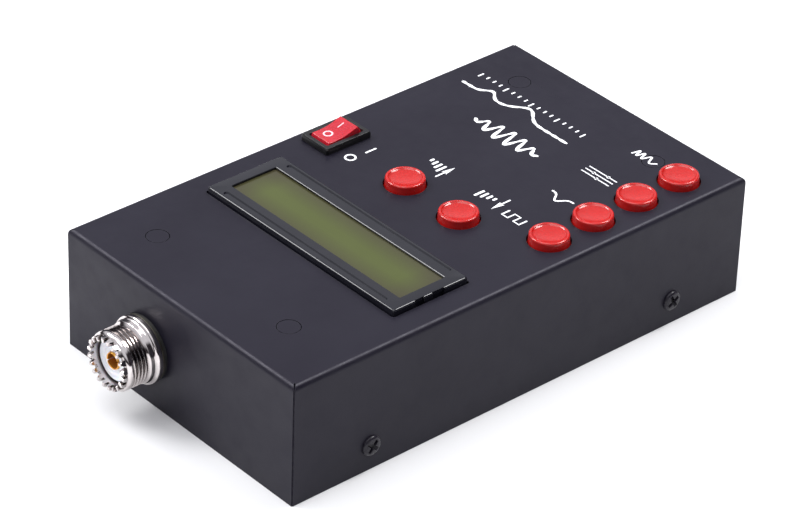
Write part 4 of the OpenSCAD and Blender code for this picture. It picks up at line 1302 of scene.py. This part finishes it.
def arrow(bm, x, tail, tip):
    """A slim arrow along Y with a long head."""
    way = 1 if tip > tail else -1
    neck = tip - way * 3.6
    line(bm, x, tail, x, neck, 0.5)
    head = [(x, tip), (x - 0.85, neck - way * 0.4), (x, neck + way * 0.3), (x + 0.85, neck - way * 0.4)]
    loft(bm, [(head, -INK_T / 2), (head, INK_T)], on_panel)


def bars(bm, x, y, heights):
    for i, height in enumerate(heights):
        spot = x + 1.55 * i
        line(bm, spot, y, spot, y + height, 0.75)


# Each symbol is drawn beside its button or switch, whose middle is at x, y.
LEVELS = (0.8, 1.5, 2.2, 2.9)


def up_symbol(bm, x, y):
    arrow(bm, x - 2.1, y - 15.5, y - 9)
    bars(bm, x + 0.6, y - 13.2, LEVELS)


def down_symbol(bm, x, y):
    arrow(bm, x - 2.3, y - 8.4, y - 15)
    bars(bm, x - 0.4, y - 13.3, LEVELS[::-1])


def mode_symbol(bm, x, y):
    """A square wave."""
    wave = [(0, 0), (0, 2.6), (2.1, 2.6), (2.1, 0), (4.2, 0), (4.2, 2.6), (6.3, 2.6), (6.3, 0)]
    stroke(bm, [(x + 9.8 + along, y - 1.4 + up) for along, up in wave])


def band_symbol(bm, x, y):
    """A bell curve."""
    stroke(bm, curve(x + 8.7, x + 16.3, lambda share: y - 1.4 + 2.8 * bump(share, 0.5, 0.2)))


def config_symbol(bm, x, y):
    """Three sliders with their knobs at different places."""
    start, length = x + 9.2, 9.8
    for row, knob in enumerate((0.3, 0.7, 0.45)):
        height = y - 1.9 + 1.45 * row
        line(bm, start, height, start + length, height, 0.35)
        ring(bm, (start + length * knob, height), 0.28, 0.5, 16)


def scan_symbol(bm, x, y):
    """A wave that quickens."""
    def height(share):
        return y - 1.1 + 1.25 * math.sin(TURN * (share + 2.2 * share ** 2))
    stroke(bm, curve(x + 9.2, x + 17, height))


def switch_symbol(bm, x, y):
    """A bar for on and a ring for off."""
    line(bm, x - 10.1, y - 4.7, x - 10.1, y - 1.5)
    ring(bm, (x - 9.4, y + 3.2), 1.35, LINE_W, 32)


def panel_print():
    bm = bmesh.new()
    symbols = (up_symbol, down_symbol, mode_symbol, band_symbol, config_symbol, scan_symbol)
    for key, symbol in zip(KEYS, symbols):
        symbol(bm, *middle(f"{key}_button").xy)
    switch_symbol(bm, *middle("rocker_housing").xy)
    add_piece("panel_symbols", bm, "print_ink")


EMBLEM_X = -3.2
BURST_Y = -39.9
BURST_WAVES = 5.5
RESPONSE_Y = -50.0
SCALE_Y = -56.8
SCALE_TICKS = 17
TICK_PITCH = 2.46


def panel_emblem():
    """A generic drawing: a burst of waves over a response curve with its scale."""
    def burst(share):
        return BURST_Y + 3.1 * math.sin(math.pi * share) ** 0.7 * math.sin(TURN * BURST_WAVES * share)

    def response(share):
        return RESPONSE_Y - 4.2 * bump(share, 0.46, 0.1) - 2.6 * bump(share, 0.78, 0.06)
    bm = bmesh.new()
    brush(bm, curve(EMBLEM_X, EMBLEM_X + 23.8, burst, 150), 0.55, 1.05)
    brush(bm, curve(EMBLEM_X, EMBLEM_X + 39.8, response, 120), 0.6, 1.0)
    for i in range(SCALE_TICKS):
        x = EMBLEM_X + 0.2 + TICK_PITCH * i
        line(bm, x, SCALE_Y, x, SCALE_Y + (0.9 if i % 4 else 1.7), 0.5)
    add_piece("panel_emblem", bm, "print_ink")


# ---- Build ----

add_camera()
add_world()
add_lights()
add_floor()
paint_frame()
folded_cover()
folded_bottom()
side_screws()
display_frame()
display_glass()
push_buttons()
switch_housing()
rocker_key()
rocker_marks()
socket_shell()
socket_insulator()
socket_contact()
socket_rings()
power_jack()
power_jack_pin()
data_port()
data_port_tongue()
panel_print()
panel_emblem()
